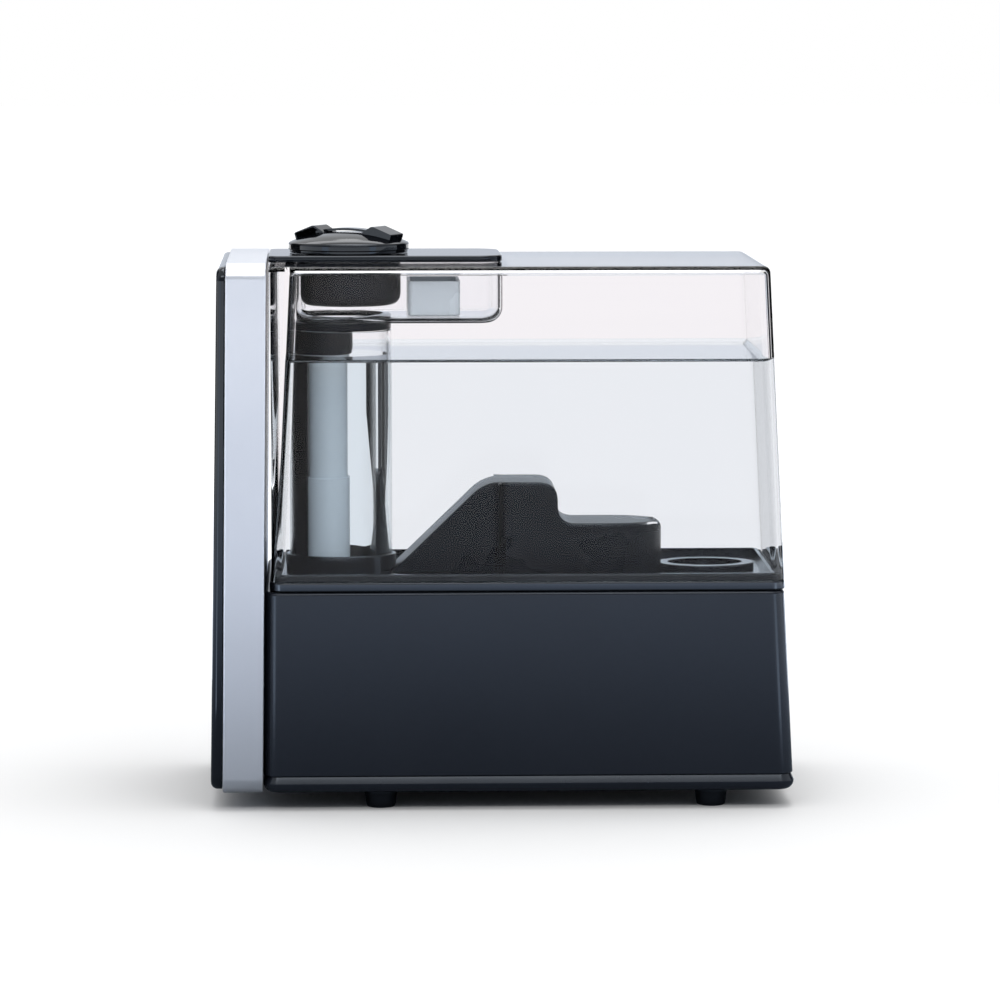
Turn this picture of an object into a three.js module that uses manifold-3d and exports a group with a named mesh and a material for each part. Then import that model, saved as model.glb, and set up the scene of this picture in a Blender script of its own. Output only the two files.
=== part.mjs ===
// A cool mist humidifier: a control column leans back in front of a black base,
// and a clear tank lifts off the base.
// Millimetres, +Z up. The control panel faces -X and the feet stand on z = 0.

import * as THREE from "three";
import { mergeVertices } from "three/addons/utils/BufferGeometryUtils.js";
import Module from "manifold-3d";

const wasm = await Module();
wasm.setup();

// Driving dimensions
const gap = 0.3; // between pieces that touch
const footHeight = 8.7;
const coverFloor = 9;
const baseFoot = 17.3;
const baseTop = 110;
const tankFoot = 115.3;
const tankTop = 272;
const lidTop = 275.6;
const nozzleTop = 289.5;
const columnFoot = 8.5;
const columnTop = 274;
const columnHalfWidth = 75;
const columnFront = -140.5; // front face of the silver frame at its foot
const columnRear = -120.3; // rear face of the silver frame at its foot
const panelFront = -146.52; // front face of the glossy panel at its foot
const lean = 0.0112; // the column's backward lean, per millimetre of height
const panelTaper = 1.5; // how much thinner the panel is at its top
const baseFront = -118.6;
const baseRear = 145.9;
const baseHalfWidth = 74.4;
const baseDraft = 0.052; // the base's rear wall, per millimetre of height
const tankFront = -116.6;
const wallSetback = 0.8; // the tank's slanted front wall stands this far behind its side edges at the foot
const tankRear = 141;
const tankHalfWidth = 73.6;
const tankDraft = 0.0494;
const sideDraft = 0.015; // the tank's long sides, per millimetre of height
const baseSideDraft = 0.0075;
const coverRear = 146.5;
const coverHalfWidth = 75;
const footPlaces = [-61.2, 105.3];
const footY = 60;
const baseWall = 2.8;
const tankWall = 2.4;
const deckTop = 106.5;
const chimney = { x: -80.6, outer: 26, inner: 24, top: 236.3 };
const mistTube = { x: -89.3, outer: 13.3, inner: 11.8, top: 235 };
const bowl = { front: -105.4, rear: 1.5, halfWidth: 34, floor: 241, top: 269.2, wall: 2.2 };
const nozzle = { x: -76.2, outer: 30.75, spigot: 21.6, turn: -27 };
const bump = { foot: -55, ramp: 0.966, high: 161, shoulder: 29, low: 140, centre: 56.5, round: 26, neck: 21 };
const filler = { x: 105, bore: 19, neck: 21.4, cap: 24 };
const basin = { front: -103.6, rear: 134.4, halfWidth: 57.6, floor: 72, wall: 2.6, thick: 3 };
const blower = { x: -45, y: 23, outer: 34, low: 22, high: 54 };
const airDuct = { front: -2, rear: 20, halfWidth: 11, top: 150, wall: 2 };
const ductGap = 0.4; // round the air duct where it comes up through the basin
const transducerX = 56;
const floatPost = { x: 80, y: 42, radius: 2.6, top: 98 };

const looks = {
  glossBlack: { color: 0x11131a, roughness: 0.12, metalness: 0 },
  baseBlack: { color: 0x20242e, roughness: 0.25, metalness: 0 },
  matteBlack: { color: 0x17181c, roughness: 0.6, metalness: 0 },
  silver: { color: 0xc3cad8, roughness: 0.35, metalness: 0.8 },
  clear: { color: 0xe8eef5, roughness: 0.05, metalness: 0, transparent: true, opacity: 0.3 },
  smoke: { color: 0x9fb0c4, roughness: 0.2, metalness: 0, transparent: true, opacity: 0.6 },
  rubber: { color: 0x0d0d0f, roughness: 0.8, metalness: 0 },
  steel: { color: 0xb9bcc2, roughness: 0.35, metalness: 0.95 },
  aluminium: { color: 0xc9ccd0, roughness: 0.4, metalness: 0.9 },
  ceramic: { color: 0xe9e4d8, roughness: 0.4, metalness: 0 },
  whitePlastic: { color: 0xe7e8ea, roughness: 0.5, metalness: 0 },
  circuit: { color: 0x1f6b43, roughness: 0.5, metalness: 0 },
  brass: { color: 0xc8a24a, roughness: 0.35, metalness: 0.9 },
};

const humidifier = new THREE.Group();

// Solids: three.js makes the shapes, and the boolean library cuts and joins them.

function solidFrom(geometry) {
  const loose = geometry.index ? geometry.toNonIndexed() : geometry.clone();
  loose.deleteAttribute("normal");
  loose.deleteAttribute("uv");
  const merged = mergeVertices(loose, 1e-4);
  const vertProperties = merged.attributes.position.array;
  const triVerts = new Uint32Array(merged.index.array);
  return new wasm.Manifold(new wasm.Mesh({ numProp: 3, vertProperties, triVerts }));
}

function geometryFrom(solid) {
  const mesh = solid.getMesh();
  const geometry = new THREE.BufferGeometry();
  const position = new THREE.BufferAttribute(new Float32Array(mesh.vertProperties), 3);
  geometry.setAttribute("position", position);
  geometry.setIndex(new THREE.BufferAttribute(new Uint32Array(mesh.triVerts), 1));
  geometry.computeVertexNormals();
  return geometry;
}

function join(solids) {
  return solids.reduce((whole, solid) => whole.add(solid));
}

function cut(solid, tools) {
  return tools.reduce((left, tool) => left.subtract(tool), solid);
}

function addPiece(name, look, solid, group = humidifier) {
  const mesh = new THREE.Mesh(geometryFrom(solid), new THREE.MeshStandardMaterial(looks[look]));
  mesh.name = name;
  group.add(mesh);
  return mesh;
}

function roundedRectangle(x0, x1, y0, y1, radius) {
  const shape = new THREE.Shape();
  shape.moveTo(x0 + radius, y0);
  shape.lineTo(x1 - radius, y0);
  shape.absarc(x1 - radius, y0 + radius, radius, -Math.PI / 2, 0);
  shape.lineTo(x1, y1 - radius);
  shape.absarc(x1 - radius, y1 - radius, radius, 0, Math.PI / 2);
  shape.lineTo(x0 + radius, y1);
  shape.absarc(x0 + radius, y1 - radius, radius, Math.PI / 2, Math.PI);
  shape.lineTo(x0, y0 + radius);
  shape.absarc(x0 + radius, y0 + radius, radius, Math.PI, Math.PI * 1.5);
  return shape;
}

// A shape drawn in plan and raised from z0 to z1, with both ends rounded by edge.
function raised(shape, z0, z1, edge = 0, curveSegments = 3) {
  const geometry = new THREE.ExtrudeGeometry(shape, {
    depth: z1 - z0 - 2 * edge,
    curveSegments,
    bevelEnabled: edge > 0,
    bevelSize: edge,
    bevelThickness: edge,
    bevelOffset: -edge,
    bevelSegments: 2,
  });
  return geometry.translate(0, 0, z0 + edge);
}

function plate(shape, z0, z1, edge = 0) {
  return solidFrom(raised(shape, z0, z1, edge));
}

function block(x0, x1, y0, y1, z0, z1) {
  const geometry = new THREE.BoxGeometry(x1 - x0, y1 - y0, z1 - z0);
  return solidFrom(geometry.translate((x0 + x1) / 2, (y0 + y1) / 2, (z0 + z1) / 2));
}

function disc(x, y, radius, z0, z1, segments = 20) {
  const geometry = new THREE.CylinderGeometry(radius, radius, z1 - z0, segments);
  return solidFrom(geometry.rotateX(Math.PI / 2).translate(x, y, (z0 + z1) / 2));
}

function ring(x, y, outer, inner, z0, z1, segments = 20) {
  return disc(x, y, outer, z0, z1, segments).subtract(disc(x, y, inner, z0 - 1, z1 + 1, segments));
}

// A rod along X, such as a screw or a boss on an upright wall.
function rod(y, z, radius, x0, x1, segments = 10) {
  const geometry = new THREE.CylinderGeometry(radius, radius, x1 - x0, segments);
  return solidFrom(geometry.rotateZ(Math.PI / 2).translate((x0 + x1) / 2, y, z));
}

// A turned piece: points are radius and height, from the axis or closed on themselves.
function turned(points, x, y, segments = 24) {
  const profile = points.map(([radius, height]) => new THREE.Vector2(radius, height));
  return solidFrom(new THREE.LatheGeometry(profile, segments).rotateX(Math.PI / 2).translate(x, y, 0));
}

// The box-like sections of the base and the tank at a height, drawn in by an inset.
function baseSection(z, inset = 0) {
  const rise = z - baseFoot;
  const halfWidth = baseHalfWidth - baseSideDraft * rise;
  return { x0: baseFront + inset, x1: baseRear - baseDraft * rise - inset, y: halfWidth - inset, z };
}

function tankSection(z, inset = 0) {
  const rise = z - tankFoot;
  const halfWidth = tankHalfWidth - sideDraft * rise;
  return { x0: tankFront + inset, x1: tankRear - tankDraft * rise - inset, y: halfWidth - inset, z };
}

// The front face of the tank's slanted front wall at a height.
function slantedFront(z) {
  return tankFront + wallSetback + tankDraft * (z - tankFoot);
}

// The water room inside the tank's walls, drawn in by an inset.
function roomSection(z, inset = 0) {
  return { ...tankSection(z, tankWall + inset), x0: slantedFront(z) + tankWall + inset };
}

// A rounded box whose section changes evenly from low to high.
function tapered(low, high, radius, edge = 0) {
  const outline = roundedRectangle(low.x0, low.x1, -low.y, low.y, radius);
  const geometry = raised(outline, low.z, high.z, edge);
  const position = geometry.attributes.position;
  for (let i = 0; i < position.count; i++) {
    const share = (position.getZ(i) - low.z) / (high.z - low.z);
    const x0 = THREE.MathUtils.lerp(low.x0, high.x0, share);
    const x1 = THREE.MathUtils.lerp(low.x1, high.x1, share);
    const along = (position.getX(i) - low.x0) / (low.x1 - low.x0);
    position.setX(i, x0 + along * (x1 - x0));
    position.setY(i, (position.getY(i) * THREE.MathUtils.lerp(low.y, high.y, share)) / low.y);
  }
  return solidFrom(geometry);
}

function between(solid, z0, z1) {
  return solid.intersect(block(-200, 200, -100, 100, z0, z1));
}

// An upright shape across Y and Z, given depth along X, then leaned back with the column.
function upright(y, z0, z1, radius, x0, x1, edge = 0, thinner = 0) {
  const geometry = raised(roundedRectangle(-y, y, z0, z1, radius), x0, x1, edge);
  const axes = [new THREE.Vector3(0, 1, 0), new THREE.Vector3(0, 0, 1), new THREE.Vector3(1, 0, 0)];
  geometry.applyMatrix4(new THREE.Matrix4().makeBasis(...axes));
  const position = geometry.attributes.position;
  for (let i = 0; i < position.count; i++) {
    const rise = position.getZ(i) - columnFoot;
    const forward = (x1 - position.getX(i)) / (x1 - x0);
    const thinning = (forward * thinner * rise) / (columnTop - columnFoot);
    position.setX(i, position.getX(i) + lean * rise + thinning);
  }
  return solidFrom(geometry);
}

// Base

const screwPlaces = [
  [-106, -64],
  [-106, 64],
  [129, -62],
  [129, 62],
];
const boardPosts = [
  [91, -26],
  [91, 26],
  [127, -26],
  [127, 26],
];
const socket = { y0: 36, y1: 52, z0: 30, z1: 44, rear: 145.4 };
const columnScrewY = 48;
const columnScrewZ = 60;

function baseHousing() {
  const outer = tapered(baseSection(baseFoot - 4), baseSection(baseTop), 8, 1.4);
  const room = tapered(baseSection(baseFoot - 1, baseWall), baseSection(deckTop - 2.5, baseWall), 5.5);
  const ledge = tapered(baseSection(deckTop, baseWall), baseSection(baseTop + 1, baseWall), 5.5);
  const basinHole = roundedRectangle(basin.front - 0.4, basin.rear + 0.4, -58, 58, 9);
  const bosses = screwPlaces.map(([x, y]) => {
    const wallY = Math.sign(y) * (baseHalfWidth - 2);
    const rib = block(x - 1, x + 1, Math.min(y, wallY), Math.max(y, wallY), baseFoot, 48);
    return disc(x, y, 5, baseFoot, 50, 12).add(rib);
  });
  const shell = cut(between(outer, baseFoot, baseTop), [room, ledge, plate(basinHole, 90, 120)]);
  return cut(join([shell, ...bosses]), [
    ...screwPlaces.map(([x, y]) => disc(x, y, 1.7, baseFoot - 1, 30, 8)),
    ...[-1, 1].map((side) => rod(side * columnScrewY, columnScrewZ, 1.8, baseFront - 1, baseFront + 4)),
    block(130, 150, socket.y0 - gap, socket.y1 + gap, socket.z0 - gap, socket.z1 + gap),
  ]);
}

function bottomCover() {
  const low = { x0: baseFront - 0.7, x1: coverRear, y: coverHalfWidth, z: coverFloor };
  const outer = between(tapered(low, { ...low, z: 40 }, 8.6, 6), coverFloor, baseFoot - gap);
  const inner = { x0: low.x0 + 3.5, x1: low.x1 - 3.5, y: low.y - 3.5, z: coverFloor + 2.5 };
  const room = tapered(inner, { ...inner, z: 40 }, 5.5);
  const posts = [
    ...screwPlaces.map(([x, y]) => disc(x, y, 5.5, coverFloor + 1, baseFoot - gap, 12)),
    ...boardPosts.map(([x, y]) => disc(x, y, 2.5, coverFloor + 1, 29.7, 8)),
    ...[-60, 60, 180].map((angle) => {
      const turn = THREE.MathUtils.degToRad(angle);
      const [x, y] = [blower.x + 26 * Math.cos(turn), blower.y + 26 * Math.sin(turn)];
      return disc(x, y, 3, coverFloor + 1, blower.low - gap, 8);
    }),
  ];
  const slots = [-3, -2, -1, 0, 1, 2, 3].map((step) => {
    const y = blower.y + step * 6;
    const halfLength = Math.sqrt(21 ** 2 - (step * 5) ** 2);
    return block(blower.x - halfLength, blower.x + halfLength, y - 1.4, y + 1.4, 0, 14);
  });
  return cut(join([outer.subtract(room), ...posts]), [
    ...slots,
    ...screwPlaces.map(([x, y]) => disc(x, y, 3.6, coverFloor - 1, 13.5, 12)),
    ...screwPlaces.map(([x, y]) => disc(x, y, 1.8, coverFloor - 1, 20, 8)),
    ...footPlaces.flatMap((x) => [-footY, footY].map((y) => disc(x, y, 3.3, coverFloor - 1, 14, 12))),
  ]);
}

function addFeetAndScrews() {
  footPlaces.forEach((x, column) => {
    [-footY, footY].forEach((y, row) => {
      const profile = [[0, 0], [7, 0], [7.6, 0.8], [8.25, footHeight], [3, footHeight], [3, 12.5], [0, 12.5]];
      addPiece("foot_" + (column * 2 + row + 1), "rubber", turned(profile, x, y, 16));
    });
  });
  screwPlaces.forEach(([x, y], index) => {
    const head = disc(x, y, 3.2, 11.6, 13.2, 10);
    addPiece("cover_screw_" + (index + 1), "steel", head.add(disc(x, y, 1.4, 13, 28, 8)));
  });
  [-1, 1].forEach((side, index) => {
    const head = rod(side * columnScrewY, columnScrewZ, 3.2, baseFront + baseWall + gap, baseFront + 4.8);
    const shank = rod(side * columnScrewY, columnScrewZ, 1.3, -127, baseFront + 4);
    addPiece("column_screw_" + (index + 1), "steel", head.add(shank));
  });
}

// Control column

function addColumn() {
  const outer = upright(columnHalfWidth, columnFoot, columnTop, 8, columnFront, columnRear);
  const hollow = [columnHalfWidth - 2.8, columnFoot + 2.8, columnTop - 2.8, 5.5];
  addPiece("silver_frame", "silver", outer.subtract(upright(...hollow, columnFront - 2, columnRear + 2)));
  const back = columnFront - gap;
  const panelHeight = [columnFoot + 1.8, columnTop - 1.8];
  addPiece("front_panel", "glossBlack", upright(73, ...panelHeight, 7, panelFront, back, 2.5, panelTaper));

  const coreEdge = columnHalfWidth - 3.1;
  const coreLow = columnFoot + 3.1;
  const coreHigh = columnTop - 3.1;
  const core = upright(coreEdge, coreLow, coreHigh, 5.2, columnFront + 0.6, columnRear - gap);
  const coreWall = 2.2;
  const coreSection = [coreEdge - coreWall, coreLow + coreWall, coreHigh - coreWall, 3];
  const coreRoom = [...coreSection, columnFront - 3, columnRear - gap - 2.4];
  const bosses = [-1, 1].map((side) => rod(side * columnScrewY, columnScrewZ, 4, -131, -121.5));
  const bores = [-1, 1].map((side) => rod(side * columnScrewY, columnScrewZ, 1.6, -129, -110));
  const carrier = core.subtract(upright(...coreRoom));
  addPiece("column_core", "matteBlack", cut(join([carrier, ...bosses]), bores));

  addPiece("display_board", "circuit", upright(42, 148, 252, 2, columnFront + 3, columnFront + 4.6));
  addPiece("display_module", "matteBlack", upright(20, 206, 234, 1.5, columnFront + 0.2, columnFront + 2.7));
  [-24, -8, 8, 24].forEach((y, index) => {
    const x0 = columnFront + 0.2 + lean * (170 - columnFoot);
    const spring = rod(y, 170, 3.2, x0, x0 + 2.2).subtract(rod(y, 170, 2.2, x0 - 1, x0 + 4));
    addPiece("touch_spring_" + (index + 1), "steel", spring);
  });
}

// Inside the base

function addBasin() {
  const { front, rear, halfWidth, floor, wall, thick } = basin;
  const body = plate(roundedRectangle(front, rear, -halfWidth, halfWidth, 8.6), floor, 109.8);
  const room = plate(
    roundedRectangle(front + wall, rear - wall, wall - halfWidth, halfWidth - wall, 6),
    floor + thick,
    120,
  );
  const rim = halfWidth + 4;
  const flange = plate(roundedRectangle(front - 4, rear + 3, -rim, rim, 12), 108.1, 109.8);
  const boardBosses = [38, 74].flatMap((x) => [-22, 22].map((y) => disc(x, y, 2.5, 64.2, floor + 1, 8)));
  const top = floor + thick - 0.5;
  const posts = [
    disc(filler.x, 0, 4, top, 84, 12),
    disc(floatPost.x, floatPost.y, floatPost.radius, top, floatPost.top, 16),
  ];
  const ductSides = [airDuct.halfWidth + ductGap, floor - 12, floor + 8];
  const ductHole = block(airDuct.front - ductGap, airDuct.rear + ductGap, -ductSides[0], ...ductSides);
  const tray = cut(body.add(flange), [room, ductHole]);
  const bores = [disc(transducerX, 0, 8.5, 60, 90), disc(transducerX, 0, 12.6, 60, floor + 1.9)];
  addPiece("water_basin", "matteBlack", cut(join([tray, ...boardBosses, ...posts]), bores));
  const gasketEdge = roundedRectangle(front - 3, rear + 2.6, -halfWidth - 3, halfWidth + 3, 11);
  const gasketHole = roundedRectangle(front - 0.8, rear + 0.8, -halfWidth - 0.8, halfWidth + 0.8, 9.4);
  const gasket = plate(gasketEdge, 106.8, 107.8).subtract(plate(gasketHole, 100, 110));
  addPiece("basin_gasket", "rubber", gasket);
  addPiece("transducer_seal", "rubber", ring(transducerX, 0, 12.2, 8.8, 72.7, 73.6));
  addPiece("transducer_disc", "ceramic", disc(transducerX, 0, 12.2, 71.2, 72.4));
  addPiece("transducer_ring", "brass", ring(transducerX, 0, 16.5, 7, 69, 70.9));
}

function addElectronics() {
  addPiece("driver_board", "circuit", block(33, 79, -27, 27, 62.3, 63.9));
  const fins = [0, 1, 2, 3, 4, 5, 6, 7].map((step) => {
    const x0 = 40 + step * 4.3;
    return block(x0, x0 + 1.6, -18, 18, 44, 60);
  });
  addPiece("heat_sink", "aluminium", join([block(40, 71.7, -18, 18, 59, 62), ...fins]));
  addPiece("power_board", "circuit", block(86, 132, -31, 31, 30, 31.6));
  addPiece("transformer", "brass", block(94, 118, -20, 4, 31.9, 52));
  const { y0, y1, z0, z1, rear } = socket;
  const mouth = block(132, 150, y0 + 3, y1 - 3, z0 + 2.5, z1 - 2.5);
  const shell = block(126, rear, y0, y1, z0, z1).subtract(mouth);
  const middle = (z0 + z1) / 2;
  const pins = [y0 + 5.4, y1 - 5.4].map((y) => rod(y, middle, 1.1, 131, 139));
  addPiece("power_socket", "matteBlack", join([shell, ...pins]));
}

function addBlower() {
  const { x, y, outer, low, high } = blower;
  const casing = disc(x, y, outer, low, high, 32).add(block(x, airDuct.front - gap, -11, 11, low, high));
  const room = disc(x, y, outer - 2, low + 2, high - 2, 32).add(block(x, 10, -9, 9, low + 2, high - 2));
  const casingHoles = [disc(x, y, 17, 10, 40), disc(x, y, 3, 40, 70, 12)];
  addPiece("blower_housing", "matteBlack", cut(casing, [room, ...casingHoles]));
  addPiece("blower_motor", "steel", disc(x, y, 12, high + gap, 68).subtract(disc(x, y, 1.8, 40, 66, 12)));

  const blades = [];
  const bladeCount = 16;
  for (let i = 0; i < bladeCount; i++) {
    const blade = new THREE.BoxGeometry(9, 1, 21).translate(22.3, 0, 0);
    blade.rotateZ((i * 2 * Math.PI) / bladeCount);
    blades.push(solidFrom(blade.translate(x, y, 36)));
  }
  const hub = join([disc(x, y, 5, 30, 47, 12), disc(x, y, 27, 45, 47), ring(x, y, 27, 21, 25.3, 27)]);
  addPiece("impeller", "whitePlastic", cut(join([hub, ...blades]), [disc(x, y, 1.8, 20, 60, 12)]));
  addPiece("motor_shaft", "steel", disc(x, y, 1.5, 28, 65, 12));

  const { front, rear, halfWidth, top, wall } = airDuct;
  const duct = block(front, rear, -halfWidth, halfWidth, low, top);
  const bore = block(front + wall, rear - wall, wall - halfWidth, halfWidth - wall, low + wall, top + 5);
  const inlet = block(front - 2, front + 4, wall - halfWidth, halfWidth - wall, low + wall, high - wall);
  addPiece("air_duct", "matteBlack", cut(duct, [bore, inlet]));
}

function addFloat() {
  const { x, y, radius, top } = floatPost;
  addPiece("float_ring", "whitePlastic", ring(x, y, 12, radius + gap, 75.4, 87));
  const seat = disc(x, y, radius + gap, 95, top + gap, 16);
  addPiece("float_keeper", "matteBlack", disc(x, y, 5.5, 96, 100, 16).subtract(seat));
}

// Tank

// The hollow that stands up from the tank's floor over the air duct and the mist chamber,
// drawn in by an inset.
function bumpSolid(inset) {
  const { foot, ramp, high, shoulder, low, centre, round, neck } = bump;
  const floor = inset > 0 ? 100 : 112;
  const slant = inset * 1.45;
  const top = high - inset;
  const step = low - inset;
  const rampAt = (height) => foot + slant + (height - tankFoot) / ramp;
  const side = new THREE.Shape();
  side.moveTo(rampAt(floor), floor);
  side.lineTo(rampAt(top - 6), top - 6);
  side.quadraticCurveTo(rampAt(top), top, rampAt(top) + 8, top);
  side.lineTo(shoulder - inset - 10, top);
  side.quadraticCurveTo(shoulder - inset, top, shoulder - inset, top - 10);
  side.quadraticCurveTo(shoulder - inset, step, shoulder - inset + 9, step);
  side.lineTo(centre + round - inset - 4, step);
  side.quadraticCurveTo(centre + round - inset, step, centre + round - inset, step - 4);
  side.lineTo(centre + round - inset, floor);
  const profile = new THREE.ExtrudeGeometry(side, { depth: 80, bevelEnabled: false, curveSegments: 4 });
  const slab = solidFrom(profile.rotateX(Math.PI / 2).translate(0, 40, 0));

  const plan = new THREE.Shape();
  plan.moveTo(foot - 40, inset - neck);
  plan.lineTo(-18, inset - neck);
  plan.bezierCurveTo(-10, inset - neck, -10, inset - round, 0, inset - round);
  plan.absarc(centre, 0, round - inset, -Math.PI / 2, Math.PI / 2);
  plan.lineTo(0, round - inset);
  plan.bezierCurveTo(-10, round - inset, -10, neck - inset, -18, neck - inset);
  plan.lineTo(foot - 40, neck - inset);
  return slab.intersect(solidFrom(raised(plan, 90, 180, 0, 8)));
}

function tankBottom() {
  const lip = tapered(roomSection(tankFoot - 1.3, 2.3), roomSection(118.5, 2.3), 4);
  const lipRoom = tapered(roomSection(tankFoot - gap, 4), roomSection(119, 4), 3);
  const floorPlate = tapered(tankSection(baseTop + gap), tankSection(tankFoot - gap), 7.5);
  const added = [
    lip.subtract(lipRoom),
    disc(chimney.x, 0, chimney.outer + 1.9, 114, 123.5, 28),
    disc(filler.x, 0, 25, 114, 118, 24).subtract(bumpSolid(-gap)),
    disc(filler.x, 0, filler.neck, 96, 112, 24),
  ];
  return cut(join([floorPlate, ...added]), [
    bumpSolid(2.4),
    disc(chimney.x, 0, chimney.outer + gap, tankFoot - gap, 130, 28),
    disc(mistTube.x, 0, mistTube.inner, 90, 130),
    disc(filler.x, 0, filler.bore, 90, 130, 24),
  ]);
}

// The hood is welded to the tank's floor round its foot.
function mistHood() {
  const chimneyRing = disc(chimney.x, 0, chimney.outer + 1.9 + gap, 110, 130, 28);
  return cut(between(bumpSolid(0), tankFoot, 200), [bumpSolid(2.4), chimneyRing]);
}

function tankShell() {
  const ceiling = tankTop - tankWall;
  const outer = tapered(tankSection(tankFoot - 10), tankSection(tankTop), 6, 3.5);
  const room = tapered(roomSection(tankFoot - 5), roomSection(ceiling), 5);
  const ahead = (z) => ({ x0: tankFront - 8, x1: slantedFront(z), y: tankSection(z).y - tankWall, z });
  const recess = tapered(ahead(tankFoot - 5), ahead(ceiling), 1);
  const opening = roundedRectangle(bowl.front + bowl.wall, bowl.rear - bowl.wall, -31, 31, 11);
  return cut(between(outer, tankFoot, tankTop + 1), [room, recess, plate(opening, 260, 280)]);
}

function mistBowl() {
  const { front, rear, halfWidth, floor, top, wall } = bowl;
  const body = plate(roundedRectangle(front, rear, -halfWidth, halfWidth, 13), floor, top + 12, 6);
  const rim = halfWidth + 2.5;
  const flange = plate(roundedRectangle(front, rear + 2.5, -rim, rim, 12), top - wall, top);
  const inside = roundedRectangle(front + wall, rear - wall, wall - halfWidth, halfWidth - wall, 10.6);
  const room = plate(inside, floor + wall, top + 20, 4);
  return cut(between(body, floor - 1, top).add(flange), [room, disc(chimney.x, 0, 21.5, 230, 250)]);
}

function addTank(group) {
  addPiece("tank_shell", "clear", tankShell(), group);
  addPiece("tank_bottom", "matteBlack", tankBottom(), group);
  addPiece("mist_hood", "matteBlack", mistHood(), group);
  const seal = tapered(roomSection(tankFoot, 0.4), roomSection(117.6, 0.4), 5);
  const sealRoom = tapered(roomSection(tankFoot - 1, 2), roomSection(119, 2), 4.5);
  addPiece("tank_seal", "rubber", seal.subtract(sealRoom), group);
  const tube = ring(chimney.x, 0, chimney.outer, chimney.inner, tankFoot, chimney.top, 28);
  addPiece("chimney_tube", "clear", tube, group);
  const gasket = ring(chimney.x, 0, 25.8, 22, chimney.top + gap, bowl.floor - gap, 28);
  addPiece("chimney_gasket", "rubber", gasket, group);
  const { x, outer, inner, top } = mistTube;
  addPiece("mist_tube", "smoke", ring(x, 0, outer, inner, tankFoot, top), group);
  addPiece("mist_sleeve", "smoke", ring(x, 0, 14.7, outer + gap, tankFoot, 162), group);
  const collar = ring(x, 0, 14.95, outer + gap, 224, top + 0.6);
  addPiece("mist_collar", "matteBlack", collar, group);
  addPiece("mist_bowl", "clear", mistBowl(), group);
  const tray = block(-46.5, -20, -22, 22, bowl.floor + bowl.wall + gap, 262);
  addPiece("scent_tray", "smoke", tray.subtract(block(-45, -21.5, -20.5, 20.5, 246, 270)), group);
}

// Fill cap and its valve

const cage = { outer: 16, low: 110, high: 112 };
const valveHead = 97.5;

function addFillCap(group) {
  const { x, cap, neck } = filler;
  const grips = [];
  const gripCount = 12;
  for (let i = 0; i < gripCount; i++) {
    const grip = new THREE.BoxGeometry(1.6, 2, 14).translate(cap - 0.4, 0, 0);
    grip.rotateZ((i * 2 * Math.PI) / gripCount);
    grips.push(solidFrom(grip.translate(x, 0, 100)));
  }
  const cup = disc(x, 0, cap, 92, 108).subtract(disc(x, 0, neck + 0.5, 94.5, 120));
  const legs = [0, 1, 2].map((step) => {
    const leg = new THREE.BoxGeometry(3, 5, 19).translate(14, 0, 0).rotateZ((step * 2 * Math.PI) / 3);
    return solidFrom(leg.translate(x, 0, 102.5));
  });
  const bridge = ring(x, 0, cage.outer, 12.5, cage.low, cage.high, 24);
  const spokes = [0, 1, 2].map((step) => {
    const spoke = new THREE.BoxGeometry(12, 3, 2).translate(8, 0, 0).rotateZ((step * 2 * Math.PI) / 3);
    return solidFrom(spoke.translate(x, 0, 111));
  });
  const whole = join([cup, bridge, disc(x, 0, 6, cage.low, cage.high, 12), ...legs, ...spokes, ...grips]);
  const bores = [disc(x, 0, 7, 80, 100, 16), disc(x, 0, 2.4, 100, 120, 12)];
  addPiece("fill_cap", "matteBlack", cut(whole, bores), group);
  addPiece("cap_seal", "rubber", ring(x, 0, 21.4, filler.bore, 94.8, 95.7), group);
}

function addValve(group) {
  const { x } = filler;
  const stem = disc(x, 0, 2.1, 84.3, 114, 12);
  addPiece("valve_plunger", "whitePlastic", stem.add(disc(x, 0, 10, valveHead, valveHead + 2, 16)), group);
  addPiece("valve_seal", "rubber", ring(x, 0, 9.6, 2.4, valveHead - 1.2, valveHead - gap, 16), group);
  const turns = 4;
  const points = [];
  for (let i = 0; i <= turns * 8; i++) {
    const angle = (i / 8) * 2 * Math.PI;
    const height = THREE.MathUtils.lerp(valveHead + 3, cage.low - 1, i / (turns * 8));
    points.push(new THREE.Vector3(x + 4.4 * Math.cos(angle), 4.4 * Math.sin(angle), height));
  }
  const wire = new THREE.Shape().absarc(0, 0, 0.45, 0, 2 * Math.PI);
  const path = new THREE.CatmullRomCurve3(points);
  const coil = new THREE.ExtrudeGeometry(wire, { steps: turns * 9, extrudePath: path, curveSegments: 3 });
  addPiece("valve_spring", "steel", solidFrom(coil), group);
}

// Lid and nozzle

function addLid(group) {
  const outline = roundedRectangle(-116.9, 1.2, -35, 35, 13);
  const slab = plate(outline, tankTop + gap, lidTop, 0.9);
  addPiece("lid_plate", "glossBlack", slab.subtract(disc(nozzle.x, 0, nozzle.spigot + 0.4, 260, 290)), group);
  const skirtProfile = [
    [16, 249], [20, 249], [23.4, 250], [25.6, 252.6], [26.4, 256],
    [26.4, tankTop], [24.6, tankTop], [24.6, 256.4], [23.6, 253.4], [19.5, 251], [16, 251], [16, 249],
  ];
  addPiece("lid_skirt", "matteBlack", turned(skirtProfile, nozzle.x, 0), group);
}

function domeProfile(grow) {
  return [
    [0, 268 - grow], [nozzle.spigot + grow, 268 - grow], [nozzle.outer + grow, 275.9 - grow],
    [nozzle.outer + grow, 280 + grow], [29.6 + grow, 281.3 + grow], [26 + grow, 282 + grow],
    [20 + grow, 284 + grow], [12 + grow, 285.6 + grow], [0, 286.2 + grow],
  ];
}

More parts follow.
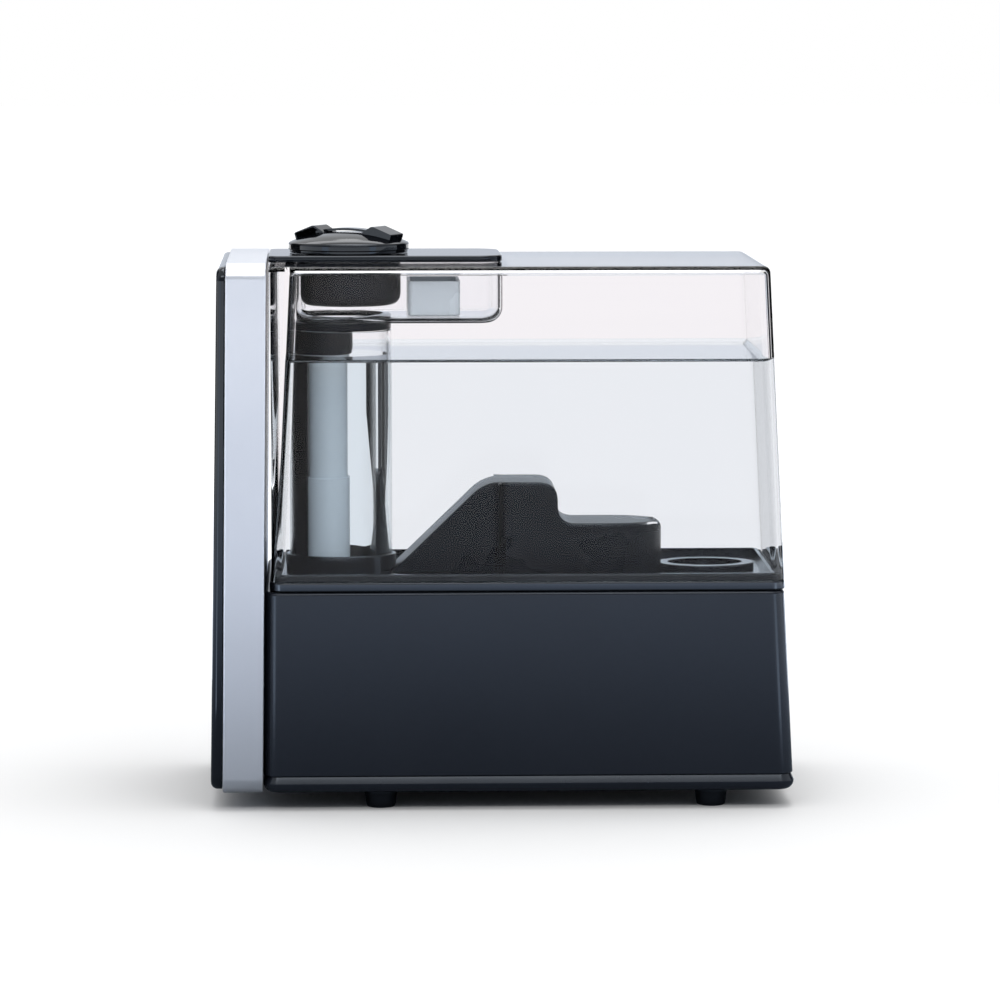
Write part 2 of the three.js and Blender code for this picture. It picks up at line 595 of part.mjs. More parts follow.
function addNozzle(group) {
  const { x, outer, spigot, turn } = nozzle;
  const cap = turned(
    [
      [0, 284], [10, 283.6], [17, 282.2], [19.2, 280], [19.2, 268], [spigot, 268], [spigot, 275.9],
      [outer, 275.9], [outer, 280], [29.6, 281.3], [26, 282], [20, 284], [12, 285.6], [0, 286.2],
    ],
    0,
    0,
    28,
  );
  const windows = [-1, 1].map((side) => block(side * 13 - 4, side * 13 + 4, -6, 6, 278, 290));
  const radians = THREE.MathUtils.degToRad(turn);
  const place = (solid) => solidFrom(geometryFrom(solid).rotateZ(radians).translate(x, 0, 0));
  addPiece("nozzle_disc", "glossBlack", place(cut(cap, windows)), group);

  const side = new THREE.Shape();
  side.moveTo(-26, 280);
  side.lineTo(-28.5, 285.5);
  side.lineTo(-21, nozzleTop);
  side.quadraticCurveTo(-12, 287.6, 0, 287.8);
  side.quadraticCurveTo(12, 287.6, 21, nozzleTop);
  side.lineTo(28.5, 285.5);
  side.lineTo(26, 280);
  const arch = new THREE.ExtrudeGeometry(side, { depth: 18, bevelEnabled: false, curveSegments: 8 });
  const bridge = solidFrom(arch.rotateX(Math.PI / 2).translate(0, 9, 0));
  const mouths = [-1, 1].flatMap((end) => {
    const mouth = new THREE.BoxGeometry(18, 13, 3.6).rotateY(end * 0.1).translate(end * 22, 0, 285.6);
    return [solidFrom(mouth), block(end * 13 - 4, end * 13 + 4, -6, 6, 270, 286)];
  });
  const hood = cut(bridge, [turned(domeProfile(gap), 0, 0, 28), ...mouths]);
  addPiece("nozzle_hood", "glossBlack", place(hood), group);
  addPiece("nozzle_clip", "matteBlack", ring(x, 0, 24.2, spigot + gap, 269.6, tankTop, 24), group);
}

// Assembly: each group lifts or turns as one.

const tank = new THREE.Group();
const lid = new THREE.Group();
humidifier.add(tank);
tank.add(lid);

addPiece("base_housing", "baseBlack", baseHousing());
addPiece("bottom_cover", "baseBlack", bottomCover());
addFeetAndScrews();
addColumn();
addBasin();
addElectronics();
addBlower();
addFloat();
addTank(tank);
addFillCap(tank);
addValve(tank);
addLid(lid);
addNozzle(lid);

export default humidifier;
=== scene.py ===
# Cool mist humidifier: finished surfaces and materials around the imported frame.
import math

import bmesh
import bpy
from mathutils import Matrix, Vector


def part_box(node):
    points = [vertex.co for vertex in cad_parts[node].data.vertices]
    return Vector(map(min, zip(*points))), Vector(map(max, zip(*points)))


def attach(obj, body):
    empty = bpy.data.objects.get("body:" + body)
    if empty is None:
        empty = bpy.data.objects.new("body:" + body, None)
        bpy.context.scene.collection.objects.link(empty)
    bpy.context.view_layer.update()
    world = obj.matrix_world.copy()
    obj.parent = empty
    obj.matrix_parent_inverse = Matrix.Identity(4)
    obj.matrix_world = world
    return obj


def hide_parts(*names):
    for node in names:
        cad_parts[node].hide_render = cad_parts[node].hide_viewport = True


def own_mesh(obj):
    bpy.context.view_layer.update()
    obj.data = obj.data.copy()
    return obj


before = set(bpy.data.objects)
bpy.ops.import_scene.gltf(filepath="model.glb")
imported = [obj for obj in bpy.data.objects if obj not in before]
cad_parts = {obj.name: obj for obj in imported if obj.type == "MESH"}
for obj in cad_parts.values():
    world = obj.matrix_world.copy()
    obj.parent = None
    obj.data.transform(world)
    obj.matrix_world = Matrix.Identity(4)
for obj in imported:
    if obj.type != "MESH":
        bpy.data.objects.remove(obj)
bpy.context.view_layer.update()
mm = 0.001
print("frame loaded:", len(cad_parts), "nodes")


# ---- small helpers: lengths are in millimetres, as on the drawings of the real thing

def deselectAll():
    for item in list(bpy.context.selected_objects):
        item.select_set(False)


def makeActive(piece):
    deselectAll()
    piece.select_set(True)
    bpy.context.view_layer.objects.active = piece


def applyPlace(piece):
    makeActive(piece)
    bpy.ops.object.transform_apply(location=True, rotation=True, scale=True)


def startEdit(piece, kind="VERT"):
    makeActive(piece)
    bpy.ops.object.mode_set(mode="EDIT")
    bpy.ops.mesh.select_mode(type=kind)
    bpy.ops.mesh.select_all(action="DESELECT")


def endEdit():
    bpy.ops.object.mode_set(mode="OBJECT")


# select vertices, edges or faces of the piece in edit mode by a test on their middle (in mm) and normal or direction
def pick(piece, kind, test):
    bpy.ops.mesh.select_mode(type=kind)
    bpy.ops.mesh.select_all(action="DESELECT")
    shape = bmesh.from_edit_mesh(piece.data)
    parts = {"VERT": shape.verts, "EDGE": shape.edges, "FACE": shape.faces}[kind]
    found = 0
    for part in parts:
        if kind == "VERT":
            middle, way = part.co / mm, None
        elif kind == "EDGE":
            middle = (part.verts[0].co + part.verts[1].co) / 2 / mm
            way = (part.verts[1].co - part.verts[0].co).normalized()
        else:
            middle, way = part.calc_center_median() / mm, part.normal
        if test(middle, way):
            part.select_set(True)
            found += 1
    shape.select_flush_mode()
    bmesh.update_edit_mesh(piece.data)
    return found


def slideVerts(piece, test, by):
    pick(piece, "VERT", lambda middle, way: test(middle))
    bpy.ops.transform.translate(value=[v * mm for v in by])


def bevelEdges(piece, test, radius, segments):
    if pick(piece, "EDGE", test):
        bpy.ops.mesh.bevel(offset=radius * mm, segments=segments, affect="EDGES", profile=0.5)


def applyModifier(piece, kind, **values):
    makeActive(piece)
    modifier = piece.modifiers.new(kind.lower(), kind)
    for key, value in values.items():
        setattr(modifier, key, value)
    bpy.ops.object.modifier_apply(modifier=modifier.name)


def carve(piece, tool, how="DIFFERENCE"):
    applyModifier(piece, "BOOLEAN", operation=how, object=tool, solver="EXACT")
    bpy.data.objects.remove(tool, do_unlink=True)


def smooth(piece, angle=32):
    makeActive(piece)
    bpy.ops.object.shade_smooth_by_angle(angle=math.radians(angle))
    applyModifier(piece, "WEIGHTED_NORMAL", keep_sharp=True, weight=60)


# a box from its low and high corners; slides move its corners before any edge is rounded
def boxPiece(name, low, high, slides=(), corner=0, cornerSteps=8, top=0, bottom=0, edgeSteps=4, along="Z"):
    middle = [(a + b) / 2 * mm for a, b in zip(low, high)]
    size = [(b - a) * mm for a, b in zip(low, high)]
    deselectAll()
    bpy.ops.mesh.primitive_cube_add(size=1, location=middle, scale=size)
    piece = bpy.context.active_object
    piece.name = name
    applyPlace(piece)
    axis = "XYZ".index(along)
    lowEnd, highEnd = low[axis], high[axis]
    startEdit(piece)
    if corner:
        bevelEdges(piece, lambda middle, way: abs(way[axis]) > 0.99, corner, cornerSteps)
    half = (lowEnd + highEnd) / 2
    if top:
        bevelEdges(piece, lambda middle, way: middle[axis] > highEnd - 0.01 and abs(way[axis]) < 0.1, top, edgeSteps)
    if bottom:
        bevelEdges(piece, lambda middle, way: middle[axis] < lowEnd + 0.01 and abs(way[axis]) < 0.1, bottom, edgeSteps)
    for slideFrom, perHeight in slides:
        # draft or lean: rings of vertices move with their height
        shape = bmesh.from_edit_mesh(piece.data)
        heights = sorted({round(v.co.z / mm, 3) for v in shape.verts})
        for height in heights:
            by = [amount * (height - slideFrom["from"]) for amount in perHeight]
            slideVerts(piece, lambda at, h=height: abs(at.z - h) < 0.002 and slideFrom["test"](at), by)
    endEdit()
    return piece


# a turned piece: the profile is radius and height; one vertex is extruded along it and spun round the upright axis
def turnedPiece(name, axisAt, profile, steps=96):
    x, y = axisAt
    deselectAll()
    bpy.ops.mesh.primitive_plane_add(size=0.001, location=((x + profile[0][0]) * mm, y * mm, profile[0][1] * mm))
    piece = bpy.context.active_object
    piece.name = name
    applyPlace(piece)
    startEdit(piece)
    bpy.ops.mesh.select_all(action="SELECT")
    bpy.ops.mesh.merge(type="CENTER")
    for (r0, z0), (r1, z1) in zip(profile, profile[1:]):
        move = ((r1 - r0) * mm, 0, (z1 - z0) * mm)
        bpy.ops.mesh.extrude_vertices_move(TRANSFORM_OT_translate={"value": move})
    bpy.ops.mesh.select_all(action="SELECT")
    bpy.ops.mesh.spin(steps=steps, angle=2 * math.pi, center=(x * mm, y * mm, 0), axis=(0, 0, 1))
    bpy.ops.mesh.select_all(action="SELECT")
    bpy.ops.mesh.remove_doubles(threshold=1e-6)
    bpy.ops.mesh.normals_make_consistent(inside=False)
    endEdit()
    return piece


# round the corners of a profile: each point is (radius, height) or (radius, height, rounding)
def softened(points, steps=4, closed=True):
    out = []
    count = len(points)
    for i, point in enumerate(points):
        rounding = point[2] if len(point) > 2 else 0
        if not rounding or (not closed and i in (0, count - 1)):
            out.append(point[:2])
            continue
        here = Vector(point[:2])
        before = Vector(points[i - 1][:2])
        after = Vector(points[(i + 1) % count][:2])
        start = here + (before - here).normalized() * rounding
        end = here + (after - here).normalized() * rounding
        for k in range(steps + 1):
            t = k / steps
            out.append(tuple(start * (1 - t) ** 2 + here * 2 * t * (1 - t) + end * t * t))
    if closed:
        out.append(out[0])
    return out


def ringProfile(outer, inner, low, high, edge=0.4):
    return softened([(inner, low, edge), (outer, low, edge), (outer, high, edge), (inner, high, edge)])


# ---- shader node groups that several materials use

def groupSocket(group, name, way, kind, value=None):
    socket = group.interface.new_socket(name=name, in_out=way, socket_type=kind)
    if value is not None:
        socket.default_value = value


def buildMouldedGrain():
    group = bpy.data.node_groups.new("mouldedGrain", "ShaderNodeTree")
    groupSocket(group, "Grain Size", "INPUT", "NodeSocketFloat", 900.0)
    groupSocket(group, "Grain Depth", "INPUT", "NodeSocketFloat", 0.1)
    groupSocket(group, "Base Tone", "INPUT", "NodeSocketColor", (0.02, 0.02, 0.02, 1))
    groupSocket(group, "Cloud Tone", "INPUT", "NodeSocketColor", (0.03, 0.03, 0.03, 1))
    groupSocket(group, "Roughness Low", "INPUT", "NodeSocketFloat", 0.3)
    groupSocket(group, "Roughness High", "INPUT", "NodeSocketFloat", 0.4)
    groupSocket(group, "Tone", "OUTPUT", "NodeSocketColor")
    groupSocket(group, "Roughness", "OUTPUT", "NodeSocketFloat")
    groupSocket(group, "Normal", "OUTPUT", "NodeSocketVector")
    nodes, links = group.nodes, group.links
    given = nodes.new("NodeGroupInput")
    out = nodes.new("NodeGroupOutput")
    place = nodes.new("ShaderNodeTexCoord")
    fine = nodes.new("ShaderNodeTexNoise")
    fine.inputs["Detail"].default_value = 3
    links.new(place.outputs["Object"], fine.inputs["Vector"])
    links.new(given.outputs["Grain Size"], fine.inputs["Scale"])
    cloud = nodes.new("ShaderNodeTexNoise")
    cloud.inputs["Scale"].default_value = 14
    cloud.inputs["Detail"].default_value = 4
    links.new(place.outputs["Object"], cloud.inputs["Vector"])
    tone = nodes.new("ShaderNodeMix")
    tone.data_type = "RGBA"
    links.new(cloud.outputs["Fac"], tone.inputs["Factor"])
    links.new(given.outputs["Base Tone"], tone.inputs["A"])
    links.new(given.outputs["Cloud Tone"], tone.inputs["B"])
    links.new(tone.outputs["Result"], out.inputs["Tone"])
    rough = nodes.new("ShaderNodeMapRange")
    rough.inputs["From Min"].default_value = 0.35
    rough.inputs["From Max"].default_value = 0.65
    links.new(cloud.outputs["Fac"], rough.inputs["Value"])
    links.new(given.outputs["Roughness Low"], rough.inputs["To Min"])
    links.new(given.outputs["Roughness High"], rough.inputs["To Max"])
    links.new(rough.outputs["Result"], out.inputs["Roughness"])
    bump = nodes.new("ShaderNodeBump")
    bump.inputs["Distance"].default_value = 0.0001
    links.new(fine.outputs["Fac"], bump.inputs["Height"])
    links.new(given.outputs["Grain Depth"], bump.inputs["Strength"])
    links.new(bump.outputs["Normal"], out.inputs["Normal"])
    return group


# a fine dust film that gathers on faces that look up
def buildSettledDust():
    group = bpy.data.node_groups.new("settledDust", "ShaderNodeTree")
    groupSocket(group, "Tone", "INPUT", "NodeSocketColor", (0.1, 0.1, 0.1, 1))
    groupSocket(group, "Dust", "INPUT", "NodeSocketColor", (0.6, 0.6, 0.6, 1))
    groupSocket(group, "Amount", "INPUT", "NodeSocketFloat", 0.1)
    groupSocket(group, "Tone", "OUTPUT", "NodeSocketColor")
    nodes, links = group.nodes, group.links
    given = nodes.new("NodeGroupInput")
    out = nodes.new("NodeGroupOutput")
    surface = nodes.new("ShaderNodeNewGeometry")
    split = nodes.new("ShaderNodeSeparateXYZ")
    links.new(surface.outputs["Normal"], split.inputs["Vector"])
    place = nodes.new("ShaderNodeTexCoord")
    specks = nodes.new("ShaderNodeTexNoise")
    specks.inputs["Scale"].default_value = 260
    specks.inputs["Detail"].default_value = 6
    links.new(place.outputs["Object"], specks.inputs["Vector"])
    sharp = nodes.new("ShaderNodeMapRange")
    sharp.inputs["From Min"].default_value = 0.52
    sharp.inputs["From Max"].default_value = 0.75
    links.new(specks.outputs["Fac"], sharp.inputs["Value"])
    facing = nodes.new("ShaderNodeMath")
    facing.operation = "MULTIPLY"
    facing.use_clamp = True
    links.new(split.outputs["Z"], facing.inputs[0])
    links.new(sharp.outputs["Result"], facing.inputs[1])
    share = nodes.new("ShaderNodeMath")
    share.operation = "MULTIPLY"
    links.new(facing.outputs[0], share.inputs[0])
    links.new(given.outputs["Amount"], share.inputs[1])
    mix = nodes.new("ShaderNodeMix")
    mix.data_type = "RGBA"
    links.new(share.outputs[0], mix.inputs["Factor"])
    links.new(given.outputs["Tone"], mix.inputs["A"])
    links.new(given.outputs["Dust"], mix.inputs["B"])
    links.new(mix.outputs["Result"], out.inputs["Tone"])
    return group


mouldedGrain = buildMouldedGrain()
settledDust = buildSettledDust()
print("node groups ready")


# ---- materials: tones are linear, grain sizes are noise scales over the object's metres

finishes = {
    "basePlastic": dict(tone=(0.008, 0.0095, 0.014), cloud=(0.0092, 0.011, 0.0165), rough=(0.16, 0.2), grain=2500, depth=0.012, dust=0.01),
    "pianoBlack": dict(tone=(0.0025, 0.003, 0.004), cloud=(0.003, 0.0035, 0.005), rough=(0.05, 0.08), grain=700, depth=0.004, dust=0.0),
    "innerPlastic": dict(tone=(0.0030, 0.0038, 0.0062), cloud=(0.0040, 0.0050, 0.0082), rough=(0.24, 0.32), grain=3200, depth=0.03, dust=0.0, gloss=0.2),
    "rimPlastic": dict(tone=(0.004, 0.0045, 0.006), cloud=(0.005, 0.0055, 0.0075), rough=(0.1, 0.16), grain=2400, depth=0.01, dust=0.0, gloss=0.9),
    "footPlastic": dict(tone=(0.004, 0.0045, 0.006), cloud=(0.0055, 0.006, 0.008), rough=(0.12, 0.18), grain=2200, depth=0.02, dust=0.0),
    "softRubber": dict(tone=(0.007, 0.007, 0.008), cloud=(0.011, 0.011, 0.012), rough=(0.6, 0.75), grain=3800, depth=0.2, dust=0.06),
    "whitePlastic": dict(tone=(0.74, 0.75, 0.76), cloud=(0.8, 0.8, 0.8), rough=(0.35, 0.45), grain=3000, depth=0.05, dust=0.0),
    "boardGreen": dict(tone=(0.012, 0.11, 0.05), cloud=(0.02, 0.17, 0.08), rough=(0.3, 0.4), grain=1600, depth=0.1, dust=0.05),
    "firedCeramic": dict(tone=(0.76, 0.72, 0.63), cloud=(0.84, 0.8, 0.72), rough=(0.35, 0.5), grain=4000, depth=0.12, dust=0.0),
}
metals = {
    "satinSilver": dict(tone=(0.76, 0.78, 0.83), cloud=(0.79, 0.81, 0.86), rough=(0.3, 0.36), grain=5200, depth=0.03, dust=0.0, metallic=0.85),
    "plainSteel": dict(tone=(0.5, 0.51, 0.53), cloud=(0.58, 0.59, 0.6), rough=(0.26, 0.36), grain=2600, depth=0.08, dust=0.0),
    "extrudedAluminium": dict(tone=(0.66, 0.67, 0.69), cloud=(0.74, 0.75, 0.76), rough=(0.32, 0.45), grain=1800, depth=0.1, dust=0.03),
    "plainBrass": dict(tone=(0.62, 0.43, 0.16), cloud=(0.72, 0.52, 0.22), rough=(0.28, 0.4), grain=1500, depth=0.06, dust=0.0),
}


def startMaterial(name):
    material = bpy.data.materials.new(name)
    material.use_nodes = True
    nodes = material.node_tree.nodes
    return material, nodes, material.node_tree.links, nodes["Principled BSDF"], nodes["Material Output"]


def solidMaterial(name, spec, metallic=0.0):
    material, nodes, links, shader, out = startMaterial(name)
    grain = nodes.new("ShaderNodeGroup")
    grain.node_tree = mouldedGrain
    grain.inputs["Grain Size"].default_value = spec["grain"]
    grain.inputs["Grain Depth"].default_value = spec["depth"]
    grain.inputs["Base Tone"].default_value = (*spec["tone"], 1)
    grain.inputs["Cloud Tone"].default_value = (*spec["cloud"], 1)
    grain.inputs["Roughness Low"].default_value = spec["rough"][0]
    grain.inputs["Roughness High"].default_value = spec["rough"][1]
    dust = nodes.new("ShaderNodeGroup")
    dust.node_tree = settledDust
    dust.inputs["Amount"].default_value = spec["dust"]
    dust.inputs["Dust"].default_value = (0.5, 0.52, 0.55, 1)
    links.new(grain.outputs["Tone"], dust.inputs["Tone"])
    links.new(dust.outputs["Tone"], shader.inputs["Base Color"])
    links.new(grain.outputs["Roughness"], shader.inputs["Roughness"])
    links.new(grain.outputs["Normal"], shader.inputs["Normal"])
    shader.inputs["Metallic"].default_value = metallic
    shader.inputs["Specular IOR Level"].default_value = spec.get("gloss", 0.5)
    if not metallic:
        shader.inputs["Specular Tint"].default_value = (0.80, 0.89, 1.0, 1)
    return material


# clear and translucent mouldings let lamp light through, so that what is inside stays lit
def seeThroughMaterial(name, tone, cloud, rough, ior, shadow, grain=(900, 0.01), transmission=1.0):
    material, nodes, links, shader, out = startMaterial(name)
    group = nodes.new("ShaderNodeGroup")
    group.node_tree = mouldedGrain
    group.inputs["Grain Size"].default_value = grain[0]
    group.inputs["Grain Depth"].default_value = grain[1]
    group.inputs["Base Tone"].default_value = (*tone, 1)
    group.inputs["Cloud Tone"].default_value = (*cloud, 1)
    group.inputs["Roughness Low"].default_value = rough[0]
    group.inputs["Roughness High"].default_value = rough[1]
    links.new(group.outputs["Tone"], shader.inputs["Base Color"])
    links.new(group.outputs["Roughness"], shader.inputs["Roughness"])
    links.new(group.outputs["Normal"], shader.inputs["Normal"])
    shader.inputs["Transmission Weight"].default_value = transmission
    shader.inputs["Specular Tint"].default_value = (0.2, 0.2, 0.2, 1)  # keeps the walls free of front haze
    shader.inputs["IOR"].default_value = ior
    clear = nodes.new("ShaderNodeBsdfTransparent")
    clear.inputs["Color"].default_value = (*shadow, 1)
    path = nodes.new("ShaderNodeLightPath")
    mix = nodes.new("ShaderNodeMixShader")
    links.new(path.outputs["Is Shadow Ray"], mix.inputs["Fac"])
    links.new(shader.outputs["BSDF"], mix.inputs[1])
    links.new(clear.outputs["BSDF"], mix.inputs[2])
    links.new(mix.outputs["Shader"], out.inputs["Surface"])
    return material


looks = {name: solidMaterial(name, spec) for name, spec in finishes.items()}
looks.update({name: solidMaterial(name, spec, spec.get("metallic", 1.0)) for name, spec in metals.items()})
looks["clearPlastic"] = seeThroughMaterial(
    "clearPlastic", (0.975, 0.98, 0.99), (0.985, 0.988, 0.995), (0.0, 0.012), 1.46, (0.95, 0.955, 0.96)
)
looks["frostedPlastic"] = seeThroughMaterial(
    "frostedPlastic", (0.86, 0.93, 0.99), (0.90, 0.96, 1.0), (0.2, 0.3), 1.3, (0.84, 0.87, 0.91), (1800, 0.05), 0.12
)
looks["water"] = seeThroughMaterial(
    "water", (0.893, 0.946, 0.964), (0.903, 0.953, 0.969), (0.0, 0.0), 1.333, (0.95, 0.96, 0.98), (30, 0.0)
)
print("materials ready:", len(looks))


def finishPiece(piece, look, body, nodeNames=()):
    piece.data.materials.clear()
    piece.data.materials.append(looks[look])
    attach(piece, body)
    if nodeNames:
        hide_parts(*nodeNames)
    return piece


# ---- control column

column = dict(foot=8.5, top=274.0, half=75.0, front=-140.5, rear=-120.3, lean=0.0112, corner=8.0, wall=2.8)
panel = dict(front=-146.52, half=73.0, foot=10.3, top=272.2, corner=7.0, edge=3.4, taper=0.0057)


def leaning(lean, foot):
    return [({"from": foot, "test": lambda at: True}, (lean, 0, 0))]


def buildColumn():
    c = column
    ring = boxPiece(
        "silverFrame", (c["front"], -c["half"], c["foot"]), (c["rear"], c["half"], c["top"]),
        corner=c["corner"], cornerSteps=12, along="X",
    )
    hollow = boxPiece(
        "frameHollow", (c["front"] - 5, c["wall"] - c["half"], c["foot"] + c["wall"]),
        (c["rear"] + 5, c["half"] - c["wall"], c["top"] - c["wall"]), corner=c["corner"] - c["wall"], along="X",
    )
    carve(ring, hollow)
    startEdit(ring)
    rim = lambda middle, way: abs(way.x) < 0.1 and (
        abs(middle.x - c["front"]) < 0.01 or abs(middle.x - c["rear"]) < 0.01
    )
    bevelEdges(ring, rim, 0.9, 4)
    endEdit()
    leanPiece(ring, c["lean"], c["foot"])
    smooth(ring)
    finishPiece(ring, "satinSilver", "base", ["silver_frame"])

    p = panel
    face = boxPiece(
        "frontPanel", (p["front"], -p["half"], p["foot"]), (c["front"] - 0.3, p["half"], p["top"]),
        corner=p["corner"], cornerSteps=12, bottom=p["edge"], top=0.5, edgeSteps=7, along="X",
    )
    # the panel is thinner at its top: its front rings come back further than its back
    leanPiece(face, c["lean"], c["foot"])
    startEdit(face)
    slideRings(face, lambda at: at.x < c["front"] + c["lean"] * (at.z - c["foot"]) - 2.0, p["taper"], p["foot"])
    endEdit()
    smooth(face)
    finishPiece(face, "pianoBlack", "base", ["front_panel"])


# move each height's ring of vertices along X in step with its height
def slideRings(piece, test, perHeight, foot):
    shape = bmesh.from_edit_mesh(piece.data)
    chosen = [v for v in shape.verts if test(v.co / mm)]
    for vert in chosen:
        vert.co.x += perHeight * (vert.co.z - foot * mm)
    bmesh.update_edit_mesh(piece.data)


def leanPiece(piece, lean, foot):
    startEdit(piece)
    slideRings(piece, lambda at: True, lean, foot)
    endEdit()


# draw a piece in with height: the rear, the front or the sides come in by their own amount per millimetre
def draftPiece(piece, foot, rear=0.0, front=0.0, side=0.0, middle=0.0):
    startEdit(piece)
    shape = bmesh.from_edit_mesh(piece.data)
    for vert in shape.verts:
        rise = vert.co.z - foot * mm
        vert.co.x -= (rear if vert.co.x > middle * mm else -front) * rise
        vert.co.y -= math.copysign(side * rise, vert.co.y)
    bmesh.update_edit_mesh(piece.data)
    endEdit()


# ---- base

base = dict(
    front=-120.0, rear=145.9, half=74.4, foot=17.3, top=110.0, corner=8.0, edge=1.7, draft=0.052, side=0.0075,
    lean=0.0112, wall=2.8, deck=106.5,
)
skirt = dict(front=-120.1, rear=146.5, half=75.0, foot=9.0, top=13.8, corner=8.6, edge=4.4, slope=(1.5, 3.2))
feetAt = [(-61.2, -60.0), (-61.2, 60.0), (105.3, -60.0), (105.3, 60.0)]


def buildBase():
    b = base
    body = boxPiece(
        "baseBody", (b["front"], -b["half"], b["foot"]), (b["rear"], b["half"], b["top"]),
        corner=b["corner"], cornerSteps=12, top=b["edge"], bottom=0.7, edgeSteps=5,
    )
    draftPiece(body, b["foot"], rear=b["draft"], front=b["lean"], side=b["side"])
    room = boxPiece(
        "baseRoom", (b["front"] + 3, 3 - b["half"], b["foot"] - 2), (b["rear"] - 8, b["half"] - 3.6, b["deck"] - 2.5), corner=5,
    )
    carve(body, room)
    ledge = boxPiece(
        "baseLedge", (b["front"] + 4, b["wall"] - 73.6, b["deck"]), (138.2, 73.6 - b["wall"], b["top"] + 3), corner=5.5,
    )
    carve(body, ledge)
    basinHole = boxPiece("basinHole", (-104, -58, b["deck"] - 10), (134.8, 58, b["top"]), corner=9)
    carve(body, basinHole)
    socketLow, socketHigh = [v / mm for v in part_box("power_socket")]
    opening = boxPiece(
        "socketOpening", (130, socketLow.y - 0.3, socketLow.z - 0.3), (150, socketHigh.y + 0.3, socketHigh.z + 0.3),
        corner=1.2, cornerSteps=4, along="X",
    )
    carve(body, opening)
    smooth(body)
    finishPiece(body, "basePlastic", "base", ["base_housing"])

    s = skirt
    cover = boxPiece(
        "bottomSkirt", (s["front"], -s["half"], s["foot"]), (s["rear"], s["half"], s["top"]),
        corner=s["corner"], cornerSteps=12, bottom=s["edge"], edgeSteps=7,
    )
    # a flat slope runs round the top, up to the body's foot
    startEdit(cover)
    pick(cover, "FACE", lambda middle, way: way.z > 0.9 and middle.z > s["top"] - 0.5)
    bpy.ops.mesh.inset(thickness=s["slope"][0] * mm, depth=s["slope"][1] * mm)
    endEdit()
    for step in range(-3, 4):
        y = 23 + step * 6
        halfLength = math.sqrt(21 ** 2 - (step * 5) ** 2)
        slot = boxPiece("intakeSlot", (-45 - halfLength, y - 1.4, 0), (-45 + halfLength, y + 1.4, 14), corner=1.3)
        carve(cover, slot)
    for x, y in ((-106, -64), (-106, 64), (129, -62), (129, 62)):
        carve(cover, turnedPiece("screwWell", (x, y), [(0, 8), (3.6, 8), (3.6, 13.5), (0, 13.5)], 32))
    smooth(cover)
    finishPiece(cover, "basePlastic", "base", ["bottom_cover"])
    print("base built")


def buildFeet():
    profile = softened(
        [(0, 0), (7.0, 0, 0.8), (7.5, 2.2, 0.8), (7.9, 6.6, 0.4), (8.25, 7.1, 0.3), (8.25, 8.8, 0.3), (5, 8.8), (0, 8.8)],
        4, closed=False,
    )
    for index, place in enumerate(feetAt):
        foot = turnedPiece("foot" + str(index + 1), place, profile, 64)
        smooth(foot)
        finishPiece(foot, "footPlastic", "base", ["foot_" + str(index + 1)])


buildColumn()
buildBase()
buildFeet()
print("column, base and feet built")


# ---- tank

tank = dict(
    front=-116.6, rear=141.0, half=73.6, foot=115.3, top=272.0, corner=6.0, edge=3.5, wall=2.4, draft=0.0494,
    side=0.015, setback=0.8,
)
water = dict(level=226.0, bite=0.25)


def tankSpace(name, inset, low, high, corner, bottom=0, top=0):
    t = tank
    rise = low - t["foot"]
    x0 = t["front"] + t["setback"] + t["wall"] + inset
    space = boxPiece(
        name, (x0, inset + t["wall"] - t["half"], t["foot"]), (t["rear"] - t["wall"] - inset, t["half"] - t["wall"] - inset, t["foot"] + high - low),
        corner=corner, cornerSteps=10, bottom=bottom, top=top, edgeSteps=5,
    )
    startEdit(space)
    bpy.ops.mesh.select_all(action="SELECT")
    bpy.ops.transform.translate(value=(0, 0, rise * mm))
    endEdit()
    draftPiece(space, t["foot"], rear=t["draft"], front=t["draft"], side=t["side"])
    return space


def buildTankShell():
    t = tank
    shell = boxPiece(
        "tankShell", (t["front"], -t["half"], t["foot"]), (t["rear"], t["half"], t["top"]),
        corner=t["corner"], cornerSteps=10, top=t["edge"], edgeSteps=6,
    )
    draftPiece(shell, t["foot"], rear=t["draft"], side=t["side"])
    carve(shell, tankSpace("tankRoom", 0, t["foot"] - 4, t["top"] - t["wall"], 4.5, top=2.2))
    recess = boxPiece(
        "tankRecess", (t["front"] - 8, 0.1 + t["wall"] - t["half"], t["foot"] - 3),
        (t["front"] + t["setback"], t["half"] - t["wall"] - 0.1, t["top"] - t["wall"] - 0.15),
    )
    draftPiece(recess, t["foot"], rear=-t["draft"], side=t["side"], middle=-120)
    carve(shell, recess)
    carve(shell, boxPiece("lidOpening", (-103.2, -31, 255), (-0.7, 31, 280), corner=11, cornerSteps=10))
    smooth(shell)
    finishPiece(shell, "clearPlastic", "tank", ["tank_shell"])


bump = dict(foot=-55.0, ramp=0.966, high=161.0, shoulder=29.0, low=140.0, centre=56.5, round=26.0, neck=21.0)


# the side outline of the hollow over the mist chamber, drawn in by an inset
def bumpOutline(inset, floor):
    b = bump
    top, step, right = b["high"] - inset, b["low"] - inset, b["centre"] + b["round"] - inset
    shoulder = b["shoulder"] - inset
    start = b["foot"] + inset * 1.45 + (floor - 115.3) / b["ramp"]
    crest = b["foot"] + inset * 1.45 + (top - 115.3) / b["ramp"]
    return softened([
        (start, floor), (crest, top, 9), (shoulder, top, 10), (shoulder, step, 9), (right, step, 5), (right, floor),
    ], 8)


